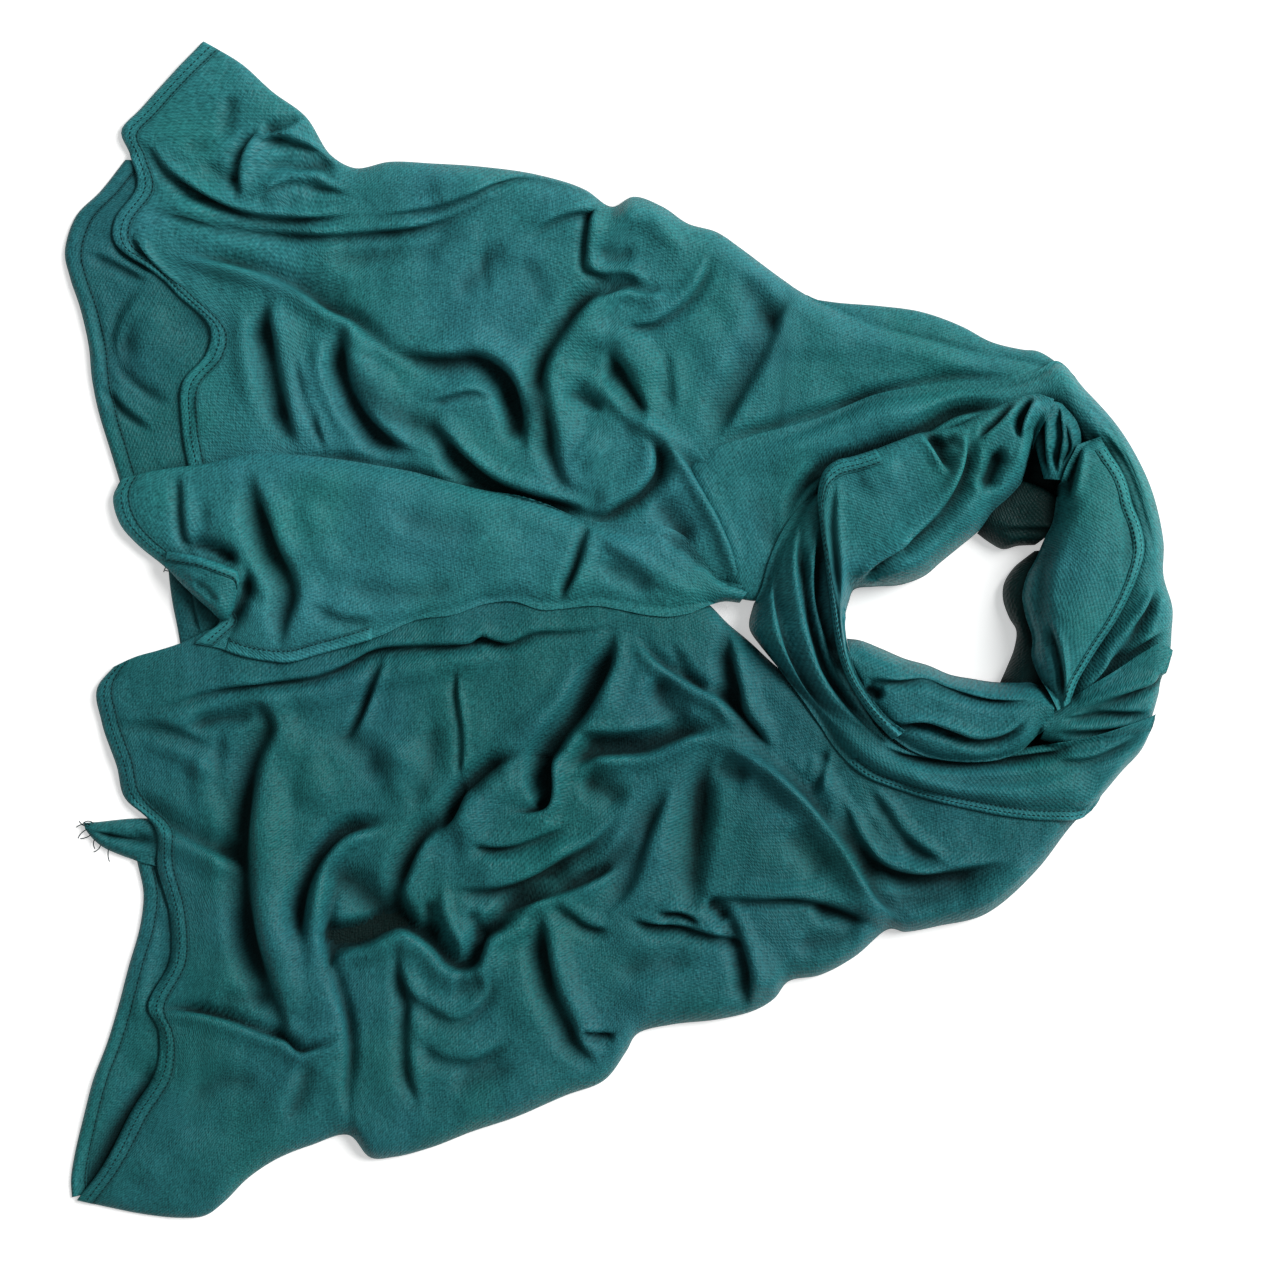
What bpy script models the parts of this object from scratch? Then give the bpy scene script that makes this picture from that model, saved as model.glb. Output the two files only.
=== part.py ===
"""Hijab headscarf laid down flat: a long cloth, folded along its length, wound into one loop at the right
and laid out in two tails to the left.

Frame: +X to the right of the laid scarf, +Y to its top, +Z up from the surface it lies on.
All tables are in millimetres. Each stretch of cloth that shows is a thin wall, lofted through its sections,
and lies on the stretches below it. The hidden layers are solid, with a flat underside.
"""
import math

import bpy
import numpy as np

# Driving sizes, in millimetres.
MM = 0.001
WALL = 1.6
STEEPEST_WALL = 3.2
LAYER_GAP = 0.5
FLOOR_LAYER = 1.2
CELL = 14.0
EDGE_STEPS = (0.0, 3.5, 9.5)
HEM_WIDTH = 11.0
HEM_WALL = 1.0
HEM_GAP = 0.3
CORE_CELL = 24.0
CORE_GAP = 0.6
RIM_LAYERS = 2
LAYER_HEIGHT = 3.0
NARROWEST_FOLD = 8.0
RASTER = 2.0
SPAN = 380.0
SAMPLES_PER_EDGE = 7
LIFT_TURNS = 40
LIFT_ENOUGH = 0.02
EDGE_ROLL = 16.0
FIRST_STEP_SHARE = 3.0
EDGE_SHARE = 3.2
LEAST_TRIANGLE = 0.5
END_REACH = 2.2
LEAST_END_REACH = 60.0
END_FALLOFF = 1.5
FOLD_STEP = 5.0
FOLD_ENDS = 4.0
FOLD_END_HEIGHT = 0.15
FLAT_EDGE = 10.0
HIGHEST = 60.0

# Colours of the satin cloth: lit upper stretches, lower stretches, and the shaded inside.
TEAL_LIT = (0.030, 0.140, 0.155)
TEAL_MID = (0.024, 0.115, 0.128)
TEAL_LOW = (0.018, 0.092, 0.102)
TEAL_DARK = (0.008, 0.040, 0.046)
CLOTH_ROUGHNESS = 0.62

# Section tables. One row is one section across the stretch, from its far edge to its near edge:
# far x, far y, near x, near y, and the height of the cloth between them.
UPPER_TAIL = (
    (-250, 352, -258, 92, 7),
    (-228, 339, -243, 90, 8),
    (-209, 322, -226, 88, 10),
    (-189, 307, -209, 87, 11),
    (-174, 284, -193, 86, 12),
    (-161, 276.5, -178, 84, 13),
    (-139, 280, -154, 80, 14),
    (-113, 279, -125, 76, 15),
    (-83, 277, -97, 72, 16),
    (-49, 272, -68, 66, 17),
    (-21, 263, -42, 58, 18),
    (-5, 253, -27, 50, 18),
    (7, 259, -14, 44, 19),
    (25, 253, 2, 38, 19),
    (40, 243, 18, 34, 19),
    (57, 238, 34, 30, 19),
    (72, 228, 50, 26, 19),
    (84, 219, 66, 27, 19),
    (92, 213, 77, 37, 20),
    (99, 208, 85, 56, 20),
    (107, 202.5, 92, 78, 20),
    (116, 197.5, 101, 97, 20),
    (128, 193, 114, 109, 20),
    (147, 186, 136, 121, 20),
    (180, 177, 170, 129, 21),
    (215, 168, 206, 134, 21),
    (240, 163, 236, 136, 21),
    (257, 159, 252, 140, 20),
)
LOWER_TAIL = (
    (-304, -23, -326, -343, 6),
    (-291, -17, -308, -347, 8),
    (-277, -13, -288, -351, 9),
    (-262, -8, -265, -353.5, 10),
    (-245, 0, -249, -352, 11),
    (-228, 2, -238, -344, 12),
    (-210, 0, -224, -330, 13),
    (-190, 2, -206, -318, 14),
    (-172, 6, -186, -310, 14),
    (-158, 10, -163, -304, 14),
    (-146, 15, -151, -317, 14),
    (-130, 22, -136, -317, 15),
    (-112, 27, -113, -311, 15),
    (-92, 30, -90, -302, 16),
    (-70, 32, -63, -293, 16),
    (-50, 32, -33, -280, 17),
    (-30, 31, -10, -271, 17),
    (-10, 30, 3, -254, 18),
    (8, 28, 10, -243, 18),
    (24, 25, 31, -237.5, 18),
    (39, 21, 58, -234.5, 19),
    (52, 15, 79, -229.5, 19),
    (64, 3, 92, -222, 20),
    (76, -7, 100, -212, 20),
    (90, -20, 119, -208, 21),
    (105, -37, 140, -197, 22),
    (120, -54, 159, -181, 22),
    (150, -76, 171, -182, 23),
    (185, -88, 190, -178.5, 24),
    (215, -94, 219, -171, 25),
    (240, -96, 250, -144, 25),
    (258, -97, 271, -117, 24),
)
MIDDLE_FLAP = (
    (-299, 89.5, -255, -9, 9),
    (-286, 93, -247, -10.5, 11),
    (-270, 96, -238, -12.5, 13),
    (-250, 98.5, -226, -16.5, 15),
    (-230, 103, -213, -19, 17),
    (-210, 105, -198, -20, 18),
    (-190, 103.5, -183, -16, 19),
    (-168, 101, -165, -11, 20),
    (-146, 97.5, -144, -4.5, 21),
    (-124, 93.5, -122, 5, 21),
    (-102, 87.5, -100, 8, 22),
    (-80, 82.5, -81, 14.5, 22),
    (-60, 79, -64, 16, 22),
    (-44, 74, -47, 11, 22),
    (-30, 68, -32, 12, 22),
    (-17, 64, -16, 13.5, 22),
    (-3, 63, 0, 11, 22),
    (12, 62.5, 15, 8, 22),
    (26, 61, 29, 7, 22),
    (38, 55, 41, 9, 22),
    (47, 44, 52, 13.5, 21),
    (56, 32, 61, 16, 20),
    (77, 24, 71, 15.3, 18),
)
UPPER_BACK_END = (
    (-297, 281, -268, 279, 3),
    (-312, 262, -268, 258, 4),
    (-326, 248, -272, 240, 4),
    (-333, 228, -262, 222, 4),
    (-330, 210, -240, 204, 5),
    (-324, 192, -226, 188, 5),
    (-319, 170, -218, 170, 5),
    (-317, 150, -226, 150, 5),
    (-313, 130, -234, 128, 4),
    (-306, 107, -234, 106, 4),
    (-299, 84, -240, 84, 4),
)
LOWER_BACK_END = (
    (-290, -139, -262, -139, 3),
    (-286, -160, -250, -160, 3),
    (-288, -178, -250, -178, 4),
    (-295, -203, -250, -200, 4),
    (-301, -226, -258, -224, 4),
    (-308, -249, -256, -246, 4),
    (-316, -270, -260, -268, 4),
    (-322, -293, -272, -288, 4),
    (-327, -314, -284, -309, 3),
    (-329.5, -330, -298, -326, 3),
    (-329, -341, -316, -338, 2.5),
)
CORNER_TAB = (
    (-322, -116.5, -321, -121, 4),
    (-314, -116, -317, -126, 6),
    (-305, -115, -311, -131, 7),
    (-294, -114, -300, -136, 7),
    (-282, -114, -288, -140, 6),
    (-268, -116, -272, -144, 4),
)
MIDDLE_BACK_END = (
    (-272, 45, -225, 45, 5),
    (-271, 30, -225, 30, 5),
    (-269, 15, -225, 12, 5),
    (-266, 0, -225, -5, 4),
    (-263, -18, -225, -20, 3),
)
TURNED_CORNER = (
    (-271, 45, -273, 38.5, 3),
    (-262, 44.5, -263, 27, 4),
    (-253, 43.5, -253, 17.5, 5),
    (-243, 41, -246, 11.5, 6),
    (-235, 38, -240, 6, 6),
    (-229.5, 35, -235.5, 5, 5),
    (-227.5, 29, -231, 12, 4),
)
OUTER_BACK_STRIP = (
    (112, 198, 110, 176, 8),
    (130, 195.5, 126, 170, 10),
    (155, 193.5, 148, 164, 11),
    (180, 190, 172, 158, 12),
    (205, 181, 196, 152, 13),
    (222, 172, 214, 150, 13),
    (240, 167.5, 232, 148, 13),
    (251, 166, 248, 146, 13),
    (260, 160.5, 258, 144, 12),
)
RING_BAND = (
    (42, 97, 76, 26, 19),
    (55, 105.5, 84, 31, 21),
    (71, 112, 92, 38, 22),
    (86, 117, 99, 50, 23),
    (102, 121, 110, 62, 24),
    (119, 126, 124, 80, 25),
    (134, 132.5, 140, 92, 26),
    (150, 139, 160, 98, 27),
    (165, 142.5, 178, 104, 28),
    (182, 145, 196, 107, 28),
    (201, 147, 212, 114, 29),
    (220, 147.5, 228, 122, 30),
    (236, 149, 240, 130, 30),
    (248, 153.5, 252, 132, 30),
    (260, 160, 262, 128, 30),
    (279, 142, 270, 118, 30),
    (297, 122, 279, 105, 29),
    (309, 103, 287, 91, 29),
    (319, 80, 293, 72, 29),
    (325, 52, 299, 54, 29),
    (325, 32, 297, 32, 29),
    (330.5, 12, 288, 10, 29),
    (330, -2, 279, -8, 28),
    (327, -12, 271, -24, 27),
)
RING_FAN = (
    (256, -44, 250, -66, 33),
    (268, -41, 262, -70, 33),
    (281, -36, 276, -72, 32),
    (296, -29, 291, -70, 31),
    (311, -19, 304, -66, 29),
    (321, -13, 313, -61, 27),
    (329.5, -17, 318.5, -51, 25),
)
RING_LEFT_WRAP = (
    (116, 80, 127, 86, 30),
    (107, 73, 128, 71, 31),
    (99, 63, 129, 58, 32),
    (92, 50, 130, 46, 32),
    (87.5, 38, 131, 33, 32),
    (84, 25, 132, 20, 32),
    (79, 13, 133, 6, 32),
    (77, 0, 134, -8, 32),
    (84, -11, 136, -20, 32),
    (95, -25, 140, -33, 32),
    (107, -41, 147, -46, 32),
    (118, -57, 156, -58, 32),
    (129, -73, 168, -67, 32),
    (144, -87, 183, -73, 32),
    (163, -95, 200, -75, 32),
    (185, -102, 218, -74, 32),
    (208, -107.5, 236, -72, 32),
    (232, -112, 254, -69, 32),
    (256, -114, 272, -66, 31),
    (277, -112, 288, -62, 29),
    (289, -98.5, 300, -58, 28),
    (300, -85.5, 309, -55, 26),
    (311, -73.5, 314, -53, 24),
    (316.5, -62, 318.5, -51, 21),
)
RING_INNER_TOP = (
    (213.5, 57, 228, 88, 16),
    (221, 51.5, 240, 88, 17),
    (229, 47.5, 252, 84, 18),
    (238, 49.5, 262, 76, 18),
    (248, 50, 268, 66, 18),
)
RING_INNER_RIGHT = (
    (248, 46.5, 272, 48, 15),
    (242, 42, 272, 40, 16),
    (236, 37, 272, 32, 17),
    (230, 28, 272, 24, 18),
    (229, 18, 270, 14, 18),
    (233, 6, 268, 4, 18),
    (237, -1, 266, -5, 18),
    (236, -11, 264, -14, 18),
    (231, -24, 260, -24, 18),
    (227, -33, 254, -34, 17),
)
RING_STRANDS = (
    (245, 136, 262, 134, 37),
    (245, 125, 271, 123, 38),
    (246, 112, 274, 110, 37),
    (249, 100, 269, 98, 34),
    (252, 89, 264, 88, 30),
)
RING_INNER_BOTTOM = (
    (134.5, -6, 138, -28, 36),
    (143, -7, 144, -42, 37),
    (156, -12, 153, -56, 38),
    (170, -18, 164, -67, 39),
    (184, -22, 178, -75, 39),
    (197, -27.5, 193, -78.5, 40),
    (210, -30, 209, -79.5, 40),
    (223, -32, 225, -78, 40),
    (235, -32.5, 238, -73, 40),
    (247, -33, 249, -63, 39),
    (257, -41, 257, -54, 38),
)
RING_RIGHT_WRAP = (
    (285, 114, 271, 109, 37),
    (291, 104, 263, 92, 38),
    (297, 95, 260, 78, 39),
    (301, 86, 257.5, 64, 40),
    (304, 74, 252.5, 53, 41),
    (309, 61, 248, 42, 41),
    (311, 48, 242.5, 32, 41),
    (308, 34, 239.5, 20, 41),
    (302, 19, 241.5, 7, 41),
    (294, 4, 245.5, -6, 41),
    (286, -8, 245, -17, 40),
    (279, -19, 249, -28, 40),
    (272, -31, 254, -38, 39),
    (267, -44, 259, -49, 38),
)
RING_TOP_WRAP = (
    (257, 136, 253, 126, 40),
    (246, 139.5, 247, 114, 42),
    (233, 136, 243.5, 100, 43),
    (222, 131, 239, 87, 43),
    (212, 126.5, 231, 78, 43),
    (202, 121, 222, 70, 43),
    (190, 118, 213.5, 58, 43),
    (177, 116, 203, 49, 42),
    (163, 111, 192, 40, 42),
    (149, 105.5, 181, 31, 41),
    (138, 102, 167, 26, 41),
    (127, 99, 152, 25, 40),
    (120, 92, 140, 23.5, 40),
    (117, 79, 136.5, 16, 40),
    (118, 65, 134.5, 9, 40),
    (120, 50, 133.5, 3, 40),
    (122, 35, 134, -4, 40),
    (124, 19, 135, -11, 40),
    (126, 3, 137, -19, 40),
    (129, -14, 141, -29, 41),
    (134, -29, 147, -39, 42),
    (142, -43, 154, -48, 43),
    (151, -55, 162, -56, 43),
    (161, -66, 169, -61, 42),
)

# Outlines of the free ends. One row is a share of the way from the far to the near edge, then x and y.
UPPER_END = (
    (0.00, -250, 352),
    (0.07, -270, 331),
    (0.14, -288, 311),
    (0.19, -299, 299),
    (0.25, -294, 284),
    (0.32, -290, 264),
    (0.38, -303, 245),
    (0.43, -303, 231),
    (0.49, -285, 216),
    (0.56, -266, 200),
    (0.64, -246, 180),
    (0.70, -248, 165),
    (0.78, -262, 148),
    (0.88, -263, 122),
    (1.00, -258, 92),
)
LOWER_END = (
    (0.00, -304, -23),
    (0.04, -313, -34),
    (0.11, -311, -56),
    (0.19, -302, -82),
    (0.26, -296, -104),
    (0.31, -281, -119),
    (0.39, -277, -145),
    (0.48, -270, -172),
    (0.56, -270, -199),
    (0.64, -283, -227),
    (0.69, -277, -240),
    (0.76, -278, -264),
    (0.84, -293, -289),
    (0.92, -309, -320),
    (1.00, -326, -343),
)
FLAP_END = (
    (0.00, -299, 89.5),
    (0.10, -304, 79),
    (0.22, -300, 63),
    (0.34, -289, 50),
    (0.47, -273, 37),
    (0.60, -259, 23),
    (0.72, -246, 11),
    (0.82, -240, 4),
    (0.92, -248, -3),
    (1.00, -255, -9),
)
BAND_START = (
    (0.00, 42, 97),
    (0.25, 50, 77),
    (0.50, 60, 59),
    (0.75, 68, 42),
    (1.00, 76, 26),
)

# Folds. One row is a name, the height (minus for a trough), the width on its left and on its right
# as it runs, and the places that it runs through.
UPPER_FOLDS = (
    ("end lip", 4, 6, 6, (-282, 291), (-259, 273), (-231, 255), (-207, 247), (-162, 247)),
    ("slot under the end lip", -5, 5, 6, (-240, 253), (-215, 244), (-172, 241)),
    ("long ridge", 4, 6, 10, (-287, 255), (-237, 248), (-176, 236), (-113, 242), (-60, 259)),
    ("top groove", -4, 6, 7, (-118, 249), (-86, 264), (-52, 267), (-7, 251)),
    ("sweep crease", -5, 8, 6, (-276, 232), (-244, 224), (-201, 209), (-161, 186), (-124, 155)),
    ("sweep ridge", 4, 8, 12, (-262, 216), (-220, 204), (-185, 184), (-160, 160)),
    ("straight valley", -5, 7, 9, (-209, 199), (-207, 170), (-203, 139), (-196, 112)),
    ("straight ridge", 4, 10, 8, (-196, 190), (-192, 160), (-186, 125)),
    ("wide valley", -7, 12, 12, (-168, 172), (-160, 147), (-138, 124), (-106, 110), (-80, 90), (-30, 72)),
    ("hooked slot", -8, 7, 8, (-113, 158), (-80, 157), (-64, 143), (-57, 121)),
    ("hooked ridge", 6, 9, 9, (-125, 170), (-83, 172), (-60, 157), (-50, 125), (-58, 98)),
    ("crossing step", 6, 14, 6, (-37, 92), (-46, 130), (-43, 161), (-28, 192), (-20, 215)),
    ("step slot", -4, 6, 7, (-47, 110), (-55, 140), (-50, 168), (-36, 195)),
    ("fork valley", -7, 8, 8, (-22, 172), (-2, 158), (8, 141), (14, 122)),
    ("fork ridge", 5, 10, 9, (0, 178), (20, 179), (36, 194), (50, 214)),
    ("slanting valley", -6, 11, 11, (104, 196), (83, 164), (65, 138), (44, 118)),
    ("oval bump", 5, 16, 16, (-32, 103), (-6, 104)),
    ("oval slot", -7, 8, 8, (-22, 67), (3, 76), (18, 91), (20, 110)),
    ("end ridge", 7, 10, 10, (18, 120), (33, 101), (46, 78), (60, 52), (72, 28)),
    ("knob", 5, 9, 9, (-4, 243), (14, 249), (34, 240)),
    ("knob slot", -5, 6, 7, (-12, 254), (-21, 232), (-17, 211)),
    ("broad ridge", 3, 14, 18, (228, 156), (150, 163), (95, 168), (45, 172)),
)
LOWER_FOLDS = (
    ("top groove", -7, 6, 7, (-268, -46), (-214, -33), (-166, -25), (-130, -12), (-77, -8), (4, 2)),
    ("groove ridge", 4, 6, 14, (-258, -52), (-205, -42), (-160, -36), (-110, -22), (-30, -12)),
    ("corner crease", -3, 8, 8, (-291, -54), (-259, -61), (-238, -72)),
    ("long valley", -6, 7, 12, (-214, -62), (-221, -106), (-222, -150), (-212, -208), (-194, -250)),
    ("long ridge", 6, 9, 9, (-200, -80), (-206, -130), (-204, -180), (-190, -228), (-180, -268)),
    ("second valley", -4, 8, 8, (-179, -125), (-192, -166), (-190, -200)),
    ("second ridge", 7, 7, 10, (-158, -127), (-177, -152), (-181, -190), (-170, -240), (-173, -285)),
    ("second slot", -7, 9, 6, (-166, -150), (-168, -195), (-158, -240), (-162, -296)),
    ("end crease", -5, 6, 6, (-278, -230), (-245, -230), (-205, -243)),
    ("end crease ridge", 4, 6, 8, (-262, -238), (-228, -244), (-196, -258)),
    ("short valley", -4, 6, 9, (-143, -20), (-153, -45), (-166, -72)),
    ("arrow valley", -7, 8, 8, (-3, 0), (-8, -28), (-30, -65), (-42, -90), (-46, -112)),
    ("arrow left ridge", 4, 9, 9, (-30, -18), (-38, -48), (-62, -68), (-100, -92)),
    ("arrow right ridge", 4, 9, 9, (10, -14), (2, -44), (-22, -74)),
    ("leaf valley", -4, 9, 7, (-101, -30), (-98, -63), (-97, -92)),
    ("elbow slot", -6, 8, 8, (-60, -78), (-86, -91), (-99, -112), (-106, -140)),
    ("elbow ridge", 5, 9, 9, (-46, -88), (-76, -100), (-90, -128), (-92, -160)),
    ("arch slot", -6, 7, 7, (-30, -82), (25, -71), (50, -62), (78, -68)),
    ("arch", 7, 10, 10, (22, -104), (46, -70), (79, -73), (122, -109), (146, -148), (158, -172)),
    ("arch hollow", -7, 12, 12, (62, -84), (46, -106), (42, -140), (48, -160)),
    ("eye slot", -6, 7, 7, (58, -8), (66, -40), (82, -64)),
    ("eye ridge", 5, 8, 7, (24, -14), (40, -32), (66, -52)),
    ("pocket", -8, 7, 8, (-174, -182), (-152, -181), (-136, -170)),
    ("crest", 7, 8, 11, (-171, -200), (-150, -189), (-126, -184), (-98, -206), (-84, -196), (-50, -168)),
    ("wedge slot", -6, 7, 7, (-80, -172), (-49, -160), (-4, -143)),
    ("crest valley", -4, 8, 8, (-132, -200), (-129, -230), (-123, -268)),
    ("bowl", -4, 10, 10, (-92, -216), (-84, -236)),
    ("hanging valley", -5, 8, 8, (-49, -172), (-45, -206), (-27, -250)),
    ("hanging ridge", 4, 8, 8, (-32, -180), (-28, -212), (-12, -240)),
    ("panel lip", 5, 10, 7, (44, -154), (84, -158), (120, -160), (148, -172)),
    ("panel slot", -5, 6, 8, (-40, -168), (0, -180), (50, -178), (100, -172)),
    ("foot valley", -4, 8, 8, (62, -172), (74, -200), (72, -226)),
    ("loop valley", -6, 8, 9, (128, -98), (146, -118), (178, -148)),
    ("loop ridge", 5, 8, 8, (112, -80), (132, -104), (152, -138), (162, -160)),
)
FLAP_FOLDS = (
    ("slanting valley", -6, 9, 10, (-220, 94), (-209, 63), (-194, 30), (-203, -8)),
    ("slanting ridge", 4, 10, 10, (-192, 88), (-180, 50), (-178, 22)),
    ("corner crease", -3, 6, 6, (-264, 96), (-262, 67), (-255, 46)),
    ("hem dent", -3, 8, 8, (-182, 12), (-146, 6)),
    ("middle swell", 3, 20, 20, (-170, 55), (-110, 52), (-50, 42)),
    ("cross crease", -3, 6, 6, (-20, 60), (-26, 36), (-35, 17)),
    ("end dent", -3, 9, 9, (0, 50), (20, 36), (38, 44)),
)
BAND_FOLDS = (
    ("foot slot", -5, 8, 8, (128, 100), (160, 118), (200, 126), (228, 138)),
    ("band swell", 4, 12, 10, (70, 80), (120, 112), (190, 136)),
    ("outer pleat", 3, 7, 7, (272, 136), (304, 90), (314, 46)),
    ("first fan slot", -6, 7, 7, (318, 22), (300, -4), (282, -22)),
    ("second fan slot", -6, 6, 6, (326, 2), (306, -10), (284, -26)),
)
FAN_FOLDS = (
    ("fan slot", -5, 6, 6, (326, -30), (300, -40), (268, -48)),
    ("fan lower slot", -4, 6, 6, (318, -49), (290, -52), (262, -56)),
)
LEFT_WRAP_FOLDS = (
    ("first pleat slot", -6, 6, 6, (106, 68), (106, 30), (116, -10), (140, -50)),
    ("second pleat slot", -5, 6, 6, (92, 40), (92, 0), (112, -34), (136, -62)),
    ("lower swell", 3, 10, 10, (150, -78), (210, -92), (280, -86)),
)
INNER_BOTTOM_FOLDS = (
    ("inner slot", -6, 6, 6, (150, -30), (190, -36), (244, -44)),
    ("outer slot", -6, 6, 6, (160, -56), (200, -62), (240, -60)),
)
RIGHT_WRAP_FOLDS = (
    ("side swell", 3, 14, 14, (282, 96), (276, 40), (264, -20)),
)
TOP_WRAP_FOLDS = (
    ("inner slot", -5, 7, 7, (150, 30), (178, 60), (202, 84), (208, 118)),
    ("knot slot", -5, 7, 7, (236, 126), (224, 106), (222, 84)),
    ("wide swell", 3, 16, 16, (140, 78), (170, 92), (196, 108)),
)


def smooth_line(knots, values, at):
    """Cubic curve through the values at the knots, without overshoot at uneven steps."""
    knots = np.asarray(knots, float)
    values = np.asarray(values, float)
    slope = np.gradient(values, knots, axis=0)
    k = np.clip(np.searchsorted(knots, at, side="right") - 1, 0, len(knots) - 2)
    step = knots[k + 1] - knots[k]
    t = (at - knots[k]) / step
    h00 = 2 * t**3 - 3 * t**2 + 1
    h10 = t**3 - 2 * t**2 + t
    h01 = 3 * t**2 - 2 * t**3
    h11 = t**3 - t**2
    if values.ndim == 2:
        h00, h10, h01, h11, step = (a[:, None] for a in (h00, h10, h01, h11, step))
    return h00 * values[k] + h10 * step * slope[k] + h01 * values[k + 1] + h11 * step * slope[k + 1]


def along(points):
    """Length along a line of points, from 0."""
    steps = np.linalg.norm(np.diff(points, axis=0), axis=1)
    return np.concatenate([[0.0], np.cumsum(steps)])


def swell(t):
    """A soft bump: 1 at 0, flat to 0 at 1."""
    return np.where(np.abs(t) < 1, (1 - t**2) ** 2, 0.0)


def quarter_round(t):
    """The rise of a rolled edge: upright at 0, level at 1."""
    return np.sqrt(np.clip(1 - (1 - np.clip(t, 0, 1)) ** 2, 0, 1))


def fold_heights(points, folds):
    """Height that the folds add at each point, in plan."""
    height = np.zeros(len(points))
    for _name, rise, left, right, *places in folds:
        places = np.array(places, float)
        length = along(places)
        count = max(4, int(length[-1] / FOLD_STEP))
        at = np.linspace(0, length[-1], count)
        line = smooth_line(length, places, at)
        start = line[:-1]
        step = np.diff(line, axis=0)
        size = np.sum(step**2, axis=1)
        offset = points[:, None, :] - start[None]
        share = np.clip(np.sum(offset * step, axis=2) / size, 0, 1)
        away = offset - share[..., None] * step
        distance = np.linalg.norm(away, axis=2)
        nearest = np.argmin(distance, axis=1)
        rows = np.arange(len(points))
        gap = distance[rows, nearest]
        turn = step[nearest, 0] * away[rows, nearest, 1] - step[nearest, 1] * away[rows, nearest, 0]
        width = np.where(turn > 0, max(left, NARROWEST_FOLD), max(right, NARROWEST_FOLD))
        place = (nearest + share[rows, nearest]) / len(step)
        fade = np.clip(np.minimum(place, 1 - place) * FOLD_ENDS + FOLD_END_HEIGHT, 0, 1)
        height += rise * swell(gap / width) * fade
    return height


class Heap:
    """Top of all the cloth laid so far, on a plan grid."""

    def __init__(self):
        self.count = int(2 * SPAN / RASTER)
        self.top = np.zeros((self.count, self.count))

    def cells(self, points):
        place = np.clip(((points + SPAN) / RASTER).astype(int), 1, self.count - 2)
        return place[..., 0], place[..., 1]

    def lay(self, points, heights):
        i, j = self.cells(points)
        np.maximum.at(self.top, (i, j), heights)

    def under(self, points):
        i, j = self.cells(points)
        best = self.top[i, j]
        for a in (-1, 0, 1):
            for b in (-1, 0, 1):
                best = np.maximum(best, self.top[i + a, j + b])
        return best


def triangle_samples():
    """Weights of a regular set of places over a triangle, its edges included."""
    n = SAMPLES_PER_EDGE
    return np.array([(a / n, b / n, (n - a - b) / n) for a in range(n + 1) for b in range(n + 1 - a)])


WEIGHTS = triangle_samples()


def quads_to_triangles(rows, columns):
    """Triangles of a lattice of points, split along the shorter way of its rows."""
    index = np.arange(rows * columns).reshape(rows, columns)
    a = index[:-1, :-1].ravel()
    b = index[1:, :-1].ravel()
    c = index[1:, 1:].ravel()
    d = index[:-1, 1:].ravel()
    return np.concatenate([np.stack([a, b, c], 1), np.stack([a, c, d], 1)])


def plan_lattice(panel, cell):
    """Points in plan of a stretch: sections along it, columns across it."""
    table = np.array(panel["sections"], float)
    middle = (table[:, 0:2] + table[:, 2:4]) / 2
    far_steps = np.linalg.norm(np.diff(table[:, 0:2], axis=0), axis=1)
    near_steps = np.linalg.norm(np.diff(table[:, 2:4], axis=0), axis=1)
    length = np.concatenate([[0.0], np.cumsum(np.maximum((far_steps + near_steps) / 2, 1.0))])
    first_step = min(HEM_WIDTH, length[-1] / FIRST_STEP_SHARE)
    count = max(2, int(round((length[-1] - first_step) / cell)))
    stations = np.concatenate([[0.0], np.linspace(first_step, length[-1], count + 1)])
    rows = smooth_line(length, table, stations)
    width = float(np.mean(np.linalg.norm(table[:, 0:2] - table[:, 2:4], axis=1)))
    steps = [s for s in EDGE_STEPS if s < width / EDGE_SHARE]
    inner = max(1, int(round((width - 2 * steps[-1]) / cell)))
    shares = np.concatenate([
        np.array(steps) / width,
        np.linspace(steps[-1] / width, 1 - steps[-1] / width, inner + 1)[1:-1],
        1 - np.array(steps[::-1]) / width,
    ])
    far = rows[:, None, 0:2]
    near = rows[:, None, 2:4]
    points = far * (1 - shares[None, :, None]) + near * shares[None, :, None]
    for key, sign in (("start_outline", 1), ("end_outline", -1)):
        if panel.get(key):
            outline = np.array(panel[key], float)
            edge = smooth_line(outline[:, 0], outline[:, 1:], shares)
            row = 0 if sign == 1 else len(stations) - 1
            shift = edge - points[row]
            reach = np.maximum(np.linalg.norm(shift, axis=1) * END_REACH, LEAST_END_REACH)
            run = np.abs(stations - stations[row])
            blend = np.clip(1 - run[:, None] / reach[None], 0, 1) ** END_FALLOFF
            points = points + blend[..., None] * shift[None]
    return points, rows[:, 4], shares, stations


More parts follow.
